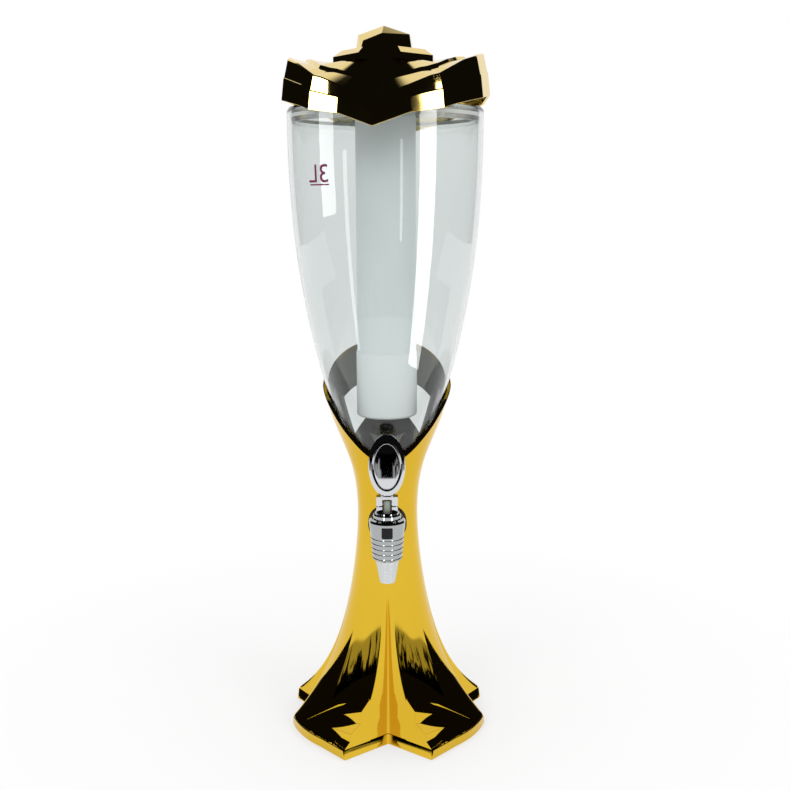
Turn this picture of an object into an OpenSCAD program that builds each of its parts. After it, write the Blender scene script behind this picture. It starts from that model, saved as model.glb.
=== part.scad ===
// A three litre beer tower: a gilded hourglass pedestal on four pleated feet, a clear
// vessel seated in its collar, a lift-off faceted lid with a hanging ice tube, and a
// spring-closed tap. Millimetres, +Z up, the tap faces -Y, origin under the centre of the feet.

/* [Pedestal] */
// Height of the narrowest ring of the column
waist_z = 205; // [195:1:215]
// Wall of the gilded shell
shell_wall = 2.4; // [2:0.1:3]
// Slow part of the column's spread towards the feet
flare_slow = 43; // [38:1:48]
// Fast part of the spread, close to the ground
flare_fast = 38; // [32:1:44]
// Height of the plain rim round each foot
foot_rim_h = 9.5; // [7:0.5:12]
// How far the gilded rim stands off the table
rim_lift = 0.8; // [0.4:0.1:1.5]
// Radius of the rounded outer edge of a foot
foot_r = 95.5; // [92:0.5:99]
// Sideways place of the pointed tips of the feet
tip_x = 38.7; // [35:0.5:42]
// Forward place of the pointed tips of the feet
tip_y = 97.3; // [96.5:0.1:98.5]
// Depth from the axis of the front and back valleys at the ground
valley_r = 68; // [64:1:72]
// How much further out the two side valleys lie
side_valley_more = 5; // [3:0.5:8]
// Height at which a valley runs out into the column
valley_top_z = 140; // [130:1:145]

/* [Collar] */
// Height of the collar's rim at its low front
rim_front_z = 260; // [255:1:265]
// Height of the rim at the sides
rim_side_z = 321; // [315:1:326]
// Height of the rim at the back
rim_back_z = 358; // [352:1:362]
// Width of the raised ribbon that follows the rim
ribbon_w = 25; // [18:1:28]
// How far the ribbon stands proud of the shell
ribbon_proud = 0.8; // [0.4:0.1:1.2]
// Half width of the rear spine between the two windows
spine_half = 12; // [8:1:16]
// Angle from the front to the outer edge of a window
window_angle = 124; // [118:1:130]
// Height of the foot of the windows
window_z = 274; // [268:1:280]

/* [Vessel] */
// Wall of the clear vessel
vessel_wall = 2.5; // [2:0.1:3]
// Radius of the vessel's lower spigot
spigot_r = 25.4; // [24:0.1:26.5]
// Height of the vessel's closed bottom
vessel_bottom_z = 166; // [160:1:172]
// Height of the vessel's open rim
vessel_rim_z = 571; // [568:0.5:571]
// Clearance between the vessel and the collar
vessel_fit = 0.4; // [0.3:0.05:0.6]

/* [Ice tube] */
// Outer radius of the ice tube
tube_r = 27; // [24:0.5:29]
// Wall of the ice tube
tube_wall = 2; // [1.5:0.1:2.5]
// Height of the lowest point of the ice tube
tube_bottom_z = 297; // [290:1:320]
// Height of the lower cup of the tube
cup_h = 60; // [40:1:70]

/* [Lid] */
// Room between the vessel's rim and the outside of the lid's skirt
lid_room = 4.7; // [4.2:0.1:5.5]
// How far the two pointed tips reach beyond the skirt
lid_point = 8; // [6.5:0.5:10]
// Wall of the lid
lid_wall = 2.4; // [2:0.1:2.8]
// How far the lid sits turned on the vessel
lid_turn = -5.7; // [-10:0.1:10]
// Height of the flat top of the lid's roof
roof_z = 610; // [608:0.5:614]
// Radius of the crown block on the roof
crown_r = 47; // [44:0.5:50]
// Height of the crown block on the roof
crown_h = 11; // [9:0.5:13]
// Half width of the knob
knob_half = 23; // [20:0.5:26]
// Height of the knob on the crown
knob_h = 21; // [17:0.5:24]

/* [Tap] */
// Height of the shank's axis
tap_z = 200; // [196:1:204]
// Forward place of the tap's upright axis
tap_y = -54; // [-56:0.5:-53]
// Radius of the tap's body at its shoulder
tap_r = 16.5; // [15.5:0.1:17.5]
// Radius of the threaded shank
shank_r = 7; // [6:0.1:8]
// Radius of the sliding stem
stem_r = 3.6; // [3.2:0.1:4]
// Radial clearance of sliding parts
slide_fit = 0.08; // [0.03:0.01:0.1]
// Radius of the outlet in the nozzle
outlet_r = 5; // [4:0.1:5.4]
// Width of the lever's paddle
paddle_w = 33; // [28:0.5:36]
// Height of the lever's paddle
paddle_h = 57; // [50:0.5:62]

/* [Fasteners and seals] */
// Gap left at a seat that must not bind
seat_gap = 0.3; // [0.2:0.05:0.4]
// Thickness of the foot plate
plate_t = 2.5; // [2.2:0.1:3.2]
// Thickness of the rubber feet
pad_t = 1.6; // [1.2:0.1:2]
// Radius of the rubber feet
pad_r = 9; // [7:0.5:10]
// Radius of the base screws
screw_r = 1.7; // [1.5:0.1:2]
// Distance from the axis to the base screws
screw_reach = 62; // [58:1:66]

/* [Hidden] */
eps = 0.01;
gold = [0.87, 0.70, 0.20];
chrome = [0.80, 0.81, 0.83];
black = [0.07, 0.07, 0.08];
clear = [0.80, 0.84, 0.83, 0.35];
frost = [0.82, 0.86, 0.86];

// more than the whole object, for cuts that must run past it
beyond = 120;

// ---- smooth curve through a list of [z, r] stations -------------------------------
function slope(p, i) =
  i == 0 ? (p[1][1] - p[0][1]) / (p[1][0] - p[0][0]) :
  i == len(p) - 1 ? (p[i][1] - p[i - 1][1]) / (p[i][0] - p[i - 1][0]) :
  (p[i + 1][1] - p[i - 1][1]) / (p[i + 1][0] - p[i - 1][0]);
function hermite(p, i, z) =
  let (h = p[i + 1][0] - p[i][0], t = (z - p[i][0]) / h)
  p[i][1] * (1 + 2 * t) * (1 - t) * (1 - t) + slope(p, i) * h * t * (1 - t) * (1 - t)
  + p[i + 1][1] * t * t * (3 - 2 * t) + slope(p, i + 1) * h * t * t * (t - 1);
function span(p, z, i = 0) = (i >= len(p) - 2 || z <= p[i + 1][0]) ? i : span(p, z, i + 1);
function smooth(p, z) = hermite(p, span(p, z), z);

// ---- vessel and column profiles ---------------------------------------------------
// outer radius of the vessel at each height: spigot, funnel, belly, rim
vessel_stations = [
  [vessel_bottom_z, spigot_r - 0.2], [212, spigot_r], [240, spigot_r + 3.2], [265, 35.6],
  [298, 48.2], [345, 62], [397, 73.4], [455, 82], [520, 86.6], [vessel_rim_z, 87.3]
];
function vessel_r(z) = smooth(vessel_stations, z);
waist_r = spigot_r + vessel_fit + shell_wall;
function flare_r(z) =
  let (t = (waist_z - z) / waist_z)
  waist_r + flare_slow * pow(t, 1.75) + flare_fast * pow(t, 6);
function column_r(z) = z < waist_z ? flare_r(z) : vessel_r(z) + vessel_fit + shell_wall;
collar_top_z = rim_back_z + 14;
column_zs = concat(
  [for (z = [rim_lift : 12 : waist_z - 6]) z],
  [for (z = [waist_z : 8 : collar_top_z]) z]
);
column_sides = 40;

// solid of revolution of the column, pulled in by a wall
module column_solid(inset = 0, z_low = rim_lift, z_high = collar_top_z) {
  zs = concat([z_low], [for (z = column_zs) if (z > z_low + 0.5 && z < z_high - 0.5) z], [z_high]);
  rotate_extrude($fn = column_sides)
    polygon(concat([[0, z_low]], [for (z = zs) [column_r(max(z, rim_lift)) - inset, z]], [[0, z_high]]));
}

// ---- star plan of the four feet ---------------------------------------------------
wall_angle = atan2(tip_x, tip_y - valley_r);
edge_start = 41;
edge_end = 74.4;
edge_step = (edge_end - edge_start) / 6;
quadrant = concat(
  [[tip_x, -tip_y]],
  [for (a = [edge_start : edge_step : edge_end + 0.1]) [foot_r * sin(a), -foot_r * cos(a)]]
);
function flip_x(p) = [-p[0], p[1]];
function flip_y(p) = [p[0], -p[1]];
function backwards(list) = [for (i = [len(list) - 1 : -1 : 0]) list[i]];
outline = concat(
  quadrant,
  backwards([for (p = quadrant) flip_y(p)]),
  [for (p = quadrant) flip_x(flip_y(p))],
  backwards([for (p = quadrant) flip_x(p)])
);
function valley(z, more) =
  let (t = max(0, (valley_top_z - z) / valley_top_z), top = flare_r(valley_top_z) - 0.3)
  top + (valley_r + more - top) * pow(t, 1.75) + max(0, z - valley_top_z);

module foot_outline(inset = 0) {
  polygon([for (p = outline) p * (1 - inset / foot_r)]);
}

// everything on the open side of one valley wall, for a valley that faces +X
module beyond_wall(side, more, inset) {
  lean = 90 - wall_angle;
  rotate([0, 0, side * lean])
    rotate([90, 0, 0])
      linear_extrude(300, center = true)
        polygon(concat(
          [for (z = [-8 : 8 : valley_top_z + 16]) [valley(z, more) * cos(lean) - inset, z]],
          [[260, valley_top_z + 16], [260, -8]]
        ));
}

module valleys(inset = 0) {
  for (k = [0 : 3])
    rotate([0, 0, 90 * k])
      intersection() {
        beyond_wall(1, k % 2 == 0 ? side_valley_more : 0, inset);
        beyond_wall(-1, k % 2 == 0 ? side_valley_more : 0, inset);
      }
}

// ---- pleats: a fan of steps from an apex near the outer corner to the valley edge --
pleat_apex = [75.9, -47.7, 15.5];
// the pleats' outer edge: from the flare, down the valley wall in treads and risers, to the tip
pleat_edge = [
  [46, -57, 34.6], [16.3, -64.9, 43.5], [24.3, -74.5, 35], [25.2, -78.7, 25.4],
  [34, -87.5, 19.8], [34.3, -89.7, 13.8], [tip_x, -tip_y, foot_rim_h]
];
pleat_base_z = 5;
// the corners on the valley wall are pushed past it, and it trims them
pleat_reach = 1.03;
function pleat_corner(i) = i == 0 ? pleat_edge[0] : pleat_apex + (pleat_edge[i] - pleat_apex) * pleat_reach;
module post(p) {
  translate([p[0], p[1], pleat_base_z])
    cylinder(r = 0.05, h = p[2] - pleat_base_z, $fn = 4);
}
module pleat_fan() {
  for (i = [0 : len(pleat_edge) - 2])
    hull() {
      post(pleat_apex);
      post(pleat_corner(i));
      post(pleat_corner(i + 1));
    }
}

module each_foot() {
  for (my = [0, 1])
    for (mx = [0, 1])
      mirror([0, my, 0])
        mirror([mx, 0, 0])
          children();
}

// ---- rim of the collar, seen from the side as a curve of height over depth --------
rim_curve = [
  [-48, rim_front_z - 28], [-37, rim_front_z], [-30, rim_front_z + 23], [-20, rim_side_z - 18],
  [0, rim_side_z], [25, rim_side_z + 13], [66, rim_back_z], [90, rim_back_z + 12]
];
function rim_z(y) = smooth(rim_curve, y);
function rim_tilt(y) = atan((rim_z(y + 0.5) - rim_z(y - 0.5)));
rim_ys = [for (y = [-47 : 4 : 89]) y];
rim_line = [for (y = rim_ys) [y, rim_z(y)]];
ribbon_line = [for (y = rim_ys) [y + ribbon_w * sin(rim_tilt(y)), rim_z(y) - ribbon_w * cos(rim_tilt(y))]];

// the space above a curve, given as points [y, z]
module above(line) {
  rotate([90, 0, 90])
    linear_extrude(2 * beyond, center = true)
      polygon(concat(
        [[-beyond, line[0][1] - 60]], line,
        [[beyond, line[len(line) - 1][1]], [beyond, 480], [-beyond, 480]]
      ));
}

// the windows' foot: high beside the spine, rounded off, then level at the window's low edge
window_spine_rise = 22;
window_corner = [8, 14];
window_low_x = 36;
window_low_drop = 4;
module windows() {
  difference() {
    for (s = [0, 1])
      mirror([s, 0, 0])
        intersection() {
          rotate([90, 0, 0])
            translate([0, 0, -beyond])
              linear_extrude(beyond - 2)
                polygon([
                  [spine_half, window_z + window_spine_rise],
                  [spine_half + window_corner[0], window_z + window_corner[1]],
                  [window_low_x, window_z - window_low_drop],
                  [beyond, window_z - window_low_drop],
                  [beyond, collar_top_z + 20], [spine_half, collar_top_z + 20]
                ]);
          rotate([0, 0, window_angle - 90])
            translate([-20, 0, waist_z])
              cube([170, beyond, 220]);
        }
    above(ribbon_line);
  }
}

// ---- nodes of the tower -----------------------------------------------------------
module pedestal_body() {
  difference() {
    union() {
      intersection() {
        column_solid();
        union() {
          translate([0, 0, rim_lift])
            linear_extrude(valley_top_z + 20)
              foot_outline();
          translate([0, 0, valley_top_z - 5])
            cylinder(r = beyond, h = collar_top_z);
        }
      }
      translate([0, 0, rim_lift])
        linear_extrude(foot_rim_h - rim_lift)
          foot_outline();
      intersection() {
        each_foot()
          pleat_fan();
        linear_extrude(60)
          foot_outline();
      }
    }
    valleys();
  }
}

module pedestal_hollow() {
  difference() {
    intersection() {
      column_solid(shell_wall, rim_lift - 1, seat_z - shell_wall);
      translate([0, 0, -1])
        linear_extrude(seat_z)
          foot_outline(shell_wall);
    }
    valleys(shell_wall);
    screw_bosses();
  }
  column_solid(shell_wall, seat_z, collar_top_z + 1);
  translate([0, 0, seat_z - 10])
    cylinder(r = seat_hole_r, h = 20);
}

seat_pad_t = 1.5;
seat_z = vessel_bottom_z - seat_pad_t;
seat_hole_r = spigot_r - 6;
boss_r = 5;
module at_diagonals(reach) {
  for (k = [0 : 3])
    rotate([0, 0, 45 + 90 * k])
      translate([reach, 0, 0])
        children();
}
module screw_bosses() {
  at_diagonals(screw_reach)
    translate([0, 0, plate_z + plate_t])
      cylinder(r = boss_r, h = 90);
}

plate_z = pad_t;
boss_bore_r = screw_r + slide_fit;
screw_top_z = plate_z + plate_t + 14;

module pedestal() {
  color(gold)
    difference() {
      union() {
        difference() {
          pedestal_body();
          pedestal_hollow();
          windows();
        }
        intersection() {
          difference() {
            column_solid(-ribbon_proud, waist_z, collar_top_z);
            column_solid(shell_wall, waist_z - 1, collar_top_z + 1);
          }
          above(ribbon_line);
        }
      }
      above(rim_line);
      translate([0, 0, tap_z])
        rotate([90, 0, 0])
          cylinder(r = shank_r + slide_fit, h = 60);
      at_diagonals(screw_reach)
        translate([0, 0, -1])
          cylinder(r = boss_bore_r, h = screw_top_z + 2, $fn = 32);
    }
}

screw_head_r = 3.4;
screw_head_h = 1.2;
plate_gap = 1.2;
module foot_plate() {
  color(black)
    difference() {
      translate([0, 0, plate_z])
        linear_extrude(plate_t)
          foot_outline(shell_wall + plate_gap);
      valleys(shell_wall + plate_gap);
      at_diagonals(screw_reach) {
        translate([0, 0, -1])
          cylinder(r = boss_bore_r, h = 20, $fn = 32);
        translate([0, 0, -1])
          cylinder(r = screw_head_r + 0.2, h = 1 + plate_z + screw_head_h + 0.1, $fn = 32);
      }
    }
}

// the pads stay inside the plate's outer corner
pad_margin = 2.9;
pad_reach = foot_r - shell_wall - plate_gap - pad_r - pad_margin;
module rubber_feet() {
  color([0.12, 0.12, 0.12])
    at_diagonals(pad_reach)
      cylinder(r = pad_r, h = pad_t, $fn = 48);
}

module base_screws() {
  color([0.6, 0.6, 0.62])
    at_diagonals(screw_reach) {
      translate([0, 0, plate_z])
        cylinder(r = screw_head_r, h = screw_head_h, $fn = 32);
      translate([0, 0, plate_z + screw_head_h - eps])
        cylinder(r = screw_r, h = screw_top_z - plate_z - screw_head_h, $fn = 32);
    }
}

module seat_pad() {
  color([0.85, 0.85, 0.83])
    translate([0, 0, seat_z])
      difference() {
        cylinder(r = spigot_r - 0.6, h = seat_pad_t, $fn = 96);
        translate([0, 0, -1])
          cylinder(r = seat_hole_r + 1, h = seat_pad_t + 2, $fn = 96);
      }
}

vessel_zs = concat([vessel_bottom_z, 190], [for (z = [212 : 9 : vessel_rim_z - 5]) z], [vessel_rim_z]);
vessel_floor = 3;
module vessel() {
  floor_z = vessel_bottom_z + vessel_floor;
  inner = [for (z = backwards(vessel_zs)) [vessel_r(z) - vessel_wall, max(z, floor_z)]];
  color(clear)
    difference() {
      rotate_extrude($fn = 96)
        polygon(concat(
          [[0, vessel_bottom_z]], [for (z = vessel_zs) [vessel_r(z), z]],
          inner, [[0, floor_z]]
        ));
      shank_hole(60);
    }
}

// ---- tap --------------------------------------------------------------------------
module shank_hole(h) {
  translate([0, 0, tap_z])
    rotate([90, 0, 0])
      cylinder(r = shank_r + slide_fit, h = h, $fn = 64);
}
// a cylinder of radius r lying along Y at the shank's height, between two depths
module along_y(r, from, to, sides = 64) {
  translate([0, -from, tap_z])
    rotate([90, 0, 0])
      cylinder(r = r, h = to - from, $fn = sides);
}

flange_y = 31.5;
socket_y = 44;
nut_from = 10.5;
nut_to = 16.5;
gasket_r = 17.7;
module tap_shank() {
  color([0.75, 0.76, 0.78])
    difference() {
      along_y(shank_r, 9, socket_y);
      along_y(shank_r - 2.8, 8, socket_y + 1);
    }
}

module outer_gasket() {
  color(black)
    difference() {
      along_y(gasket_r, 18, flange_y, 96);
      column_solid(-0.05, tap_z - 30, tap_z + 30);
      shank_hole(60);
    }
}

module inner_gasket() {
  color([0.8, 0.8, 0.78])
    difference() {
      intersection() {
        along_y(12, nut_to, 30);
        translate([0, 0, tap_z - 30])
          cylinder(r = vessel_r(tap_z - 12) - vessel_wall - 0.05, h = 60, $fn = 96);
      }
      shank_hole(60);
    }
}

module lock_nut() {
  color([0.9, 0.9, 0.88])
    difference() {
      along_y(11.5, nut_from, nut_to, 6);
      shank_hole(60);
    }
}

module on_tap_axis() {
  translate([0, tap_y, 0])
    children();
}

body_low = tap_z - 25;
body_top = tap_z + 13;
neck_r = 13;
neck_flange_r = 16.4;
neck_flange_t = 2.5;
chamber_r = 9;
spigot_h = 3;
nozzle_spigot_r = 7.6;
groove_count = 5;
groove_pitch = 4.6;
groove_depth = 1;
groove_w = 1.1;
groove_taper = 0.38;
// radial place of a groove's floor, following the body's taper
function groove_floor(k) = tap_r - 1.3 - groove_depth - (groove_count - 1 - k) * groove_taper;
module tap_body() {
  color(chrome)
    difference() {
      union() {
        on_tap_axis()
          rotate_extrude($fn = 72)
            difference() {
              polygon([
                [0, body_low], [tap_r - 3.6, body_low], [tap_r - 3.1, body_low + 0.8],
                [tap_r - 1.2, tap_z - 1], [tap_r, body_top - 3], [tap_r - 0.6, body_top - 1],
                [tap_r - 2.4, body_top], [0, body_top]
              ]);
              for (k = [0 : groove_count - 1])
                translate([groove_floor(k), body_low + 1.6 + k * groove_pitch])
                  square([4, groove_w]);
            }
        along_y(neck_r, flange_y, -tap_y);
        along_y(neck_flange_r, flange_y, flange_y + neck_flange_t, 72);
      }
      on_tap_axis() {
        translate([0, 0, body_low + spigot_h])
          cylinder(r = chamber_r, h = 60, $fn = 64);
        translate([0, 0, body_low - 1])
          cylinder(r = nozzle_spigot_r + 0.05, h = spigot_h + 2, $fn = 64);
      }
      shank_hole(socket_y);
      along_y(shank_r - 2.8, 40, -tap_y);
      front_recess();
    }
}

recess_w = 10.5;
recess_depth = 1.2;
recess_corner_r = 1.5;
recess_z = tap_z + 2.6;
module front_recess() {
  inner = recess_w - 2 * recess_corner_r;
  translate([0, tap_y - tap_r + recess_depth + 0.9, recess_z])
    rotate([90, 0, 0])
      linear_extrude(10)
        union() {
          square([inner, recess_w], center = true);
          square([recess_w, inner], center = true);
          for (x = [-1, 1])
            for (y = [-1, 1])
              translate([x * inner / 2, y * inner / 2])
                circle(r = recess_corner_r, $fn = 24);
        }
}

nozzle_low = body_low - 22;
nozzle_low_r = 7;
nozzle_high_r = 10.8;
module tap_nozzle() {
  color([0.82, 0.84, 0.85])
    on_tap_axis()
      difference() {
        union() {
          translate([0, 0, nozzle_low])
            cylinder(r1 = nozzle_low_r, r2 = nozzle_high_r, h = body_low - nozzle_low, $fn = 64);
          translate([0, 0, body_low - eps])
            cylinder(r = nozzle_spigot_r, h = spigot_h + eps, $fn = 64);
        }
        translate([0, 0, nozzle_low - 1])
          cylinder(r = outlet_r, h = 60, $fn = 64);
      }
}

bonnet_top = body_top + 6.5;
bonnet_r = 12.6;
module tap_bonnet() {
  color(chrome)
    on_tap_axis()
      rotate_extrude($fn = 72)
        polygon([
          [stem_r + slide_fit, body_top - 3], [chamber_r - 0.1, body_top - 3], [chamber_r - 0.1, body_top],
          [bonnet_r, body_top], [bonnet_r, body_top + 3.2], [bonnet_r - 0.6, body_top + 4.2],
          [bonnet_r - 1.4, body_top + 4.4], [bonnet_r - 1.6, body_top + 5.6],
          [bonnet_r - 2.6, bonnet_top], [stem_r + slide_fit, bonnet_top]
        ]);
}

seal_z = body_low + spigot_h;
flange_z = seal_z + 6;
pin_z = bonnet_top + 6.5;
pin_r = 1.5;
stem_top = pin_z + 3;
module plunger_seal() {
  color([0.9, 0.9, 0.88])
    on_tap_axis()
      translate([0, 0, seal_z])
        cylinder(r = chamber_r - 1.4, h = 3.5, $fn = 64);
}

module tap_plunger() {
  color([0.62, 0.66, 0.62])
    difference() {
      on_tap_axis() {
        translate([0, 0, seal_z + 3.5])
          cylinder(r = stem_r, h = stem_top - seal_z - 4.5, $fn = 48);
        translate([0, 0, stem_top - 1 - eps])
          cylinder(r1 = stem_r, r2 = stem_r - 1, h = 1 + eps, $fn = 48);
        translate([0, 0, flange_z])
          cylinder(r = chamber_r - 0.5, h = 1.6, $fn = 64);
      }
      pin_hole();
    }
}

module pin_hole() {
  translate([-30, tap_y, pin_z])
    rotate([0, 90, 0])
      cylinder(r = pin_r + 0.05, h = 60, $fn = 32);
}

leg_in = 4.3;
leg_out = 9.6;
module lever_pin() {
  color([0.7, 0.7, 0.72])
    translate([-leg_out + 0.2, tap_y, pin_z])
      rotate([0, 90, 0])
        cylinder(r = pin_r, h = 2 * leg_out - 0.4, $fn = 32);
}

// spring: one wire swept round the stem, in steps of 24 degrees
spring_turns = 6;
spring_steps = spring_turns * 15;
spring_r = 6.3;
wire_r = 0.55;
spring_low = flange_z + 1.6 + wire_r;
spring_high = body_top - 3 - wire_r;
wire_sides = 6;
function spring_point(i, j) =
  let (
    a = i * 24,
    b = j * 60,
    r = spring_r + wire_r * cos(b),
    z = spring_low + (spring_high - spring_low) * i / spring_steps
  )
  [r * cos(a), r * sin(a) + tap_y, z + wire_r * sin(b)];
function wire_index(i, j) = i * wire_sides + j % wire_sides;
module tap_spring() {
  n = spring_steps;
  around = [0 : wire_sides - 1];
  color([0.6, 0.6, 0.62])
    polyhedron([for (i = [0 : n]) for (j = around) spring_point(i, j)], concat(
      [[for (j = around) wire_index(0, j)]],
      [backwards([for (j = around) wire_index(n, j)])],
      [for (i = [0 : n - 1]) for (j = around)
        [wire_index(i, j), wire_index(i + 1, j), wire_index(i + 1, j + 1)]],
      [for (i = [0 : n - 1]) for (j = around)
        [wire_index(i, j), wire_index(i + 1, j + 1), wire_index(i, j + 1)]]
    ));
}

// room above the pin that the stem's corner needs as the lever swings
stem_swing_room = 1.6;
leg_bridge_h = 2.4;
leg_w = 8.4;
paddle_low = stem_top + 3.5;
paddle_mid = paddle_low + paddle_h / 2;
paddle_t = 8;
paddle_neck = 10.8;
face_share = 0.74;
// an upright oval plate, k times the paddle's size, from one depth to the next
module oval(k, y_from, y_to) {
  translate([0, y_to, paddle_mid])
    rotate([90, 0, 0])
      linear_extrude(y_to - y_from)
        polygon([for (a = [0 : 10 : 350]) [paddle_w / 2 * k * cos(a), paddle_h / 2 * k * sin(a)]]);
}

module tap_lever() {
  color(chrome)
    difference() {
      union() {
        hull() {
          oval(0.80, tap_y - paddle_t / 2, tap_y + paddle_t / 2);
          oval(1, tap_y - 1.4, tap_y + 1.4);
        }
        translate([-paddle_neck / 2, tap_y - 3.6, stem_top + stem_swing_room])
          cube([paddle_neck, 7.2, 8]);
        translate([-leg_out, tap_y - leg_w / 2, stem_top + stem_swing_room])
          cube([2 * leg_out, leg_w, leg_bridge_h]);
        for (s = [0, 1])
          mirror([s, 0, 0])
            translate([leg_in, tap_y, 0]) {
              translate([0, 0, pin_z])
                rotate([0, 90, 0])
                  cylinder(r = leg_w / 2, h = leg_out - leg_in, $fn = 48);
              translate([0, -leg_w / 2, pin_z])
                cube([leg_out - leg_in, leg_w, stem_top + stem_swing_room + 0.4 - pin_z]);
              translate([0, -leg_w / 2 + 0.8, bonnet_top + seat_gap])
                cube([leg_out - leg_in, leg_w - 1.6, pin_z - bonnet_top - seat_gap]);
            }
      }
      oval(face_share, tap_y - paddle_t / 2 - 1, tap_y - paddle_t / 2 + 1.2);
      pin_hole();
    }
}

module lever_face() {
  color(chrome)
    hull() {
      oval(face_share - 0.01, tap_y - paddle_t / 2 + 0.4, tap_y - paddle_t / 2 + 1.2);
      oval(face_share - 0.25, tap_y - paddle_t / 2 - 0.6, tap_y - paddle_t / 2 + 1);
    }
}

// ---- lid --------------------------------------------------------------------------
lid_sides = 60;
lid_r = vessel_r(vessel_rim_z) + lid_room;
lid_tip = lid_r + lid_point;
tip_angle = acos(lid_r / lid_tip);
// reach of the lid's pointed outline at angle a from a tip
function lid_reach(a) =
  let (m = abs(a) % 180, b = min(m, 180 - m))
  b < tip_angle ? lid_r / cos(tip_angle - b) : lid_r;
roof_spread = 1.04;
function octagon_reach(a) = lid_r / cos(((a + 360) % 45) - 22.5) * cos(22.5) * roof_spread;
// heights of the lid's rings, over the share of the way to a tip; skirt_under is the inside,
// which clears the vessel's rim and the liner's flange
skirt_low = [[0, 583], [0.3, 578.5], [0.6, 571], [0.87, 562.4], [1, 551]];
skirt_seam = [[0, 603], [0.34, 596.7], [0.6, 588.5], [0.87, 575], [1, 563]];
skirt_top = [[0, 618], [0.25, 614], [0.45, 607.8], [0.77, 592.2], [0.89, 582.7], [1, 571]];
skirt_under = [[0, 614.8], [0.25, 610.8], [0.45, 604.6], [0.77, 589], [0.89, 580.2], [1, 570.8]];
function at(list, u, i = 0) =
  (i >= len(list) - 2 || u <= list[i + 1][0])
    ? list[i][1] + (list[i + 1][1] - list[i][1]) * (u - list[i][0]) / (list[i + 1][0] - list[i][0])
    : at(list, u, i + 1);
// share of the way from the lid's sides to a tip, at angle a
function tip_share(a) = min(1, lid_reach(a) * abs(cos(a)) / lid_tip);
// a ring of the lid: share k of the outline, at heights from a list, raised by dz
function lid_ring(k, list, dz = 0, more = 0) = [
  for (i = [0 : lid_sides - 1])
    let (a = i * 360 / lid_sides, r = lid_reach(a) * k - more, u = tip_share(a))
    [r * sin(a), -r * cos(a), at(list, u) + dz]
];
// a ring of the roof: an octagon, between the skirt's top and the flat roof
function roof_ring(k, share, dz = 0) = [
  for (i = [0 : lid_sides - 1])
    let (a = i * 360 / lid_sides, r = octagon_reach(a) * k, u = tip_share(a))
    [r * sin(a), -r * cos(a), at(skirt_top, u) * (1 - share) + roof_z * share + dz]
];
lid_rings = concat(
  [lid_ring(0.95, skirt_under, 0, lid_wall), lid_ring(1, skirt_low, 0, lid_wall)],
  [lid_ring(1, skirt_low), lid_ring(0.977, skirt_seam), lid_ring(0.968, skirt_seam, 0.8)],
  [lid_ring(0.935, skirt_top), lid_ring(0.92, skirt_top, 0.8)],
  [roof_ring(0.75, 0.42, -1.2), roof_ring(0.73, 0.42, 1.6), roof_ring(0.5, 1, 0)]
);
lid_under = [roof_ring(0.7, 0.42, -3.2), roof_ring(0.48, 1, -lid_wall)];

// a closed skin over rings of equal length, the last joined to the first
module closed_loft(rings) {
  n = len(rings[0]);
  m = len(rings);
  polyhedron(
    [for (r = rings) for (p = r) p],
    concat(
      [for (i = [0 : m - 1]) for (j = [0 : n - 1])
        let (k = (i + 1) % m)
        [i * n + j, k * n + j, k * n + (j + 1) % n]],
      [for (i = [0 : m - 1]) for (j = [0 : n - 1])
        let (k = (i + 1) % m)
        [i * n + j, k * n + (j + 1) % n, i * n + (j + 1) % n]]
    )
  );
}
roof_hole_r = 2.4;
hole_ring_top = [
  for (i = [0 : lid_sides - 1])
    let (a = i * 360 / lid_sides)
    [roof_hole_r * sin(a), -roof_hole_r * cos(a), roof_z]
];
hole_ring_low = [for (p = hole_ring_top) [p[0], p[1], roof_z - lid_wall]];

module turned() {
  rotate([0, 0, lid_turn])
    children();
}

module lid_shell() {
  color(gold)
    turned()
      closed_loft(backwards(concat(lid_rings, [hole_ring_top, hole_ring_low], backwards(lid_under))));
}

crown_z = roof_z;
knob_z = crown_z + crown_h;
knob_screw_r = 2;
// an eight-sided slab with sloped shoulders
module faceted_slab(r, h, bevel) {
  hull() {
    rotate([0, 0, 22.5])
      cylinder(r = r, h = h * 0.5, $fn = 8);
    rotate([0, 0, 22.5])
      cylinder(r = r - bevel, h = h, $fn = 8);
  }
}
crown_bevel = 8;
module lid_crown() {
  color(gold)
    turned()
      translate([0, 0, crown_z])
        difference() {
          faceted_slab(crown_r, crown_h, crown_bevel);
          translate([0, 0, -1])
            cylinder(r = roof_hole_r, h = 40, $fn = 32);
        }
}

// a house-shaped slab: half width w, eaves at e, peak at p, at depth +-y
module gable(w, e, p, y) {
  rotate([90, 0, 0])
    linear_extrude(2 * y, center = true)
      polygon([[-w - 2, 0], [w + 2, 0], [w, e], [0, p], [-w, e]]);
}
knob_ridge_half = 9;
module lid_knob() {
  color(gold)
    turned()
      translate([0, 0, knob_z])
        difference() {
          hull() {
            gable(knob_half - 0.5, knob_h - 7.5, knob_h, knob_ridge_half);
            gable(knob_half - 6.5, knob_h - 14, knob_h - 8, knob_half);
          }
          translate([0, 0, -1])
            cylinder(r = knob_screw_r + 0.05, h = 10, $fn = 32);
        }
}

flange_t = 1.8;
socket_r = 34.4;
socket_wall = 2.1;
ceiling_z = 595.5;
ceiling_t = 2.5;
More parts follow.
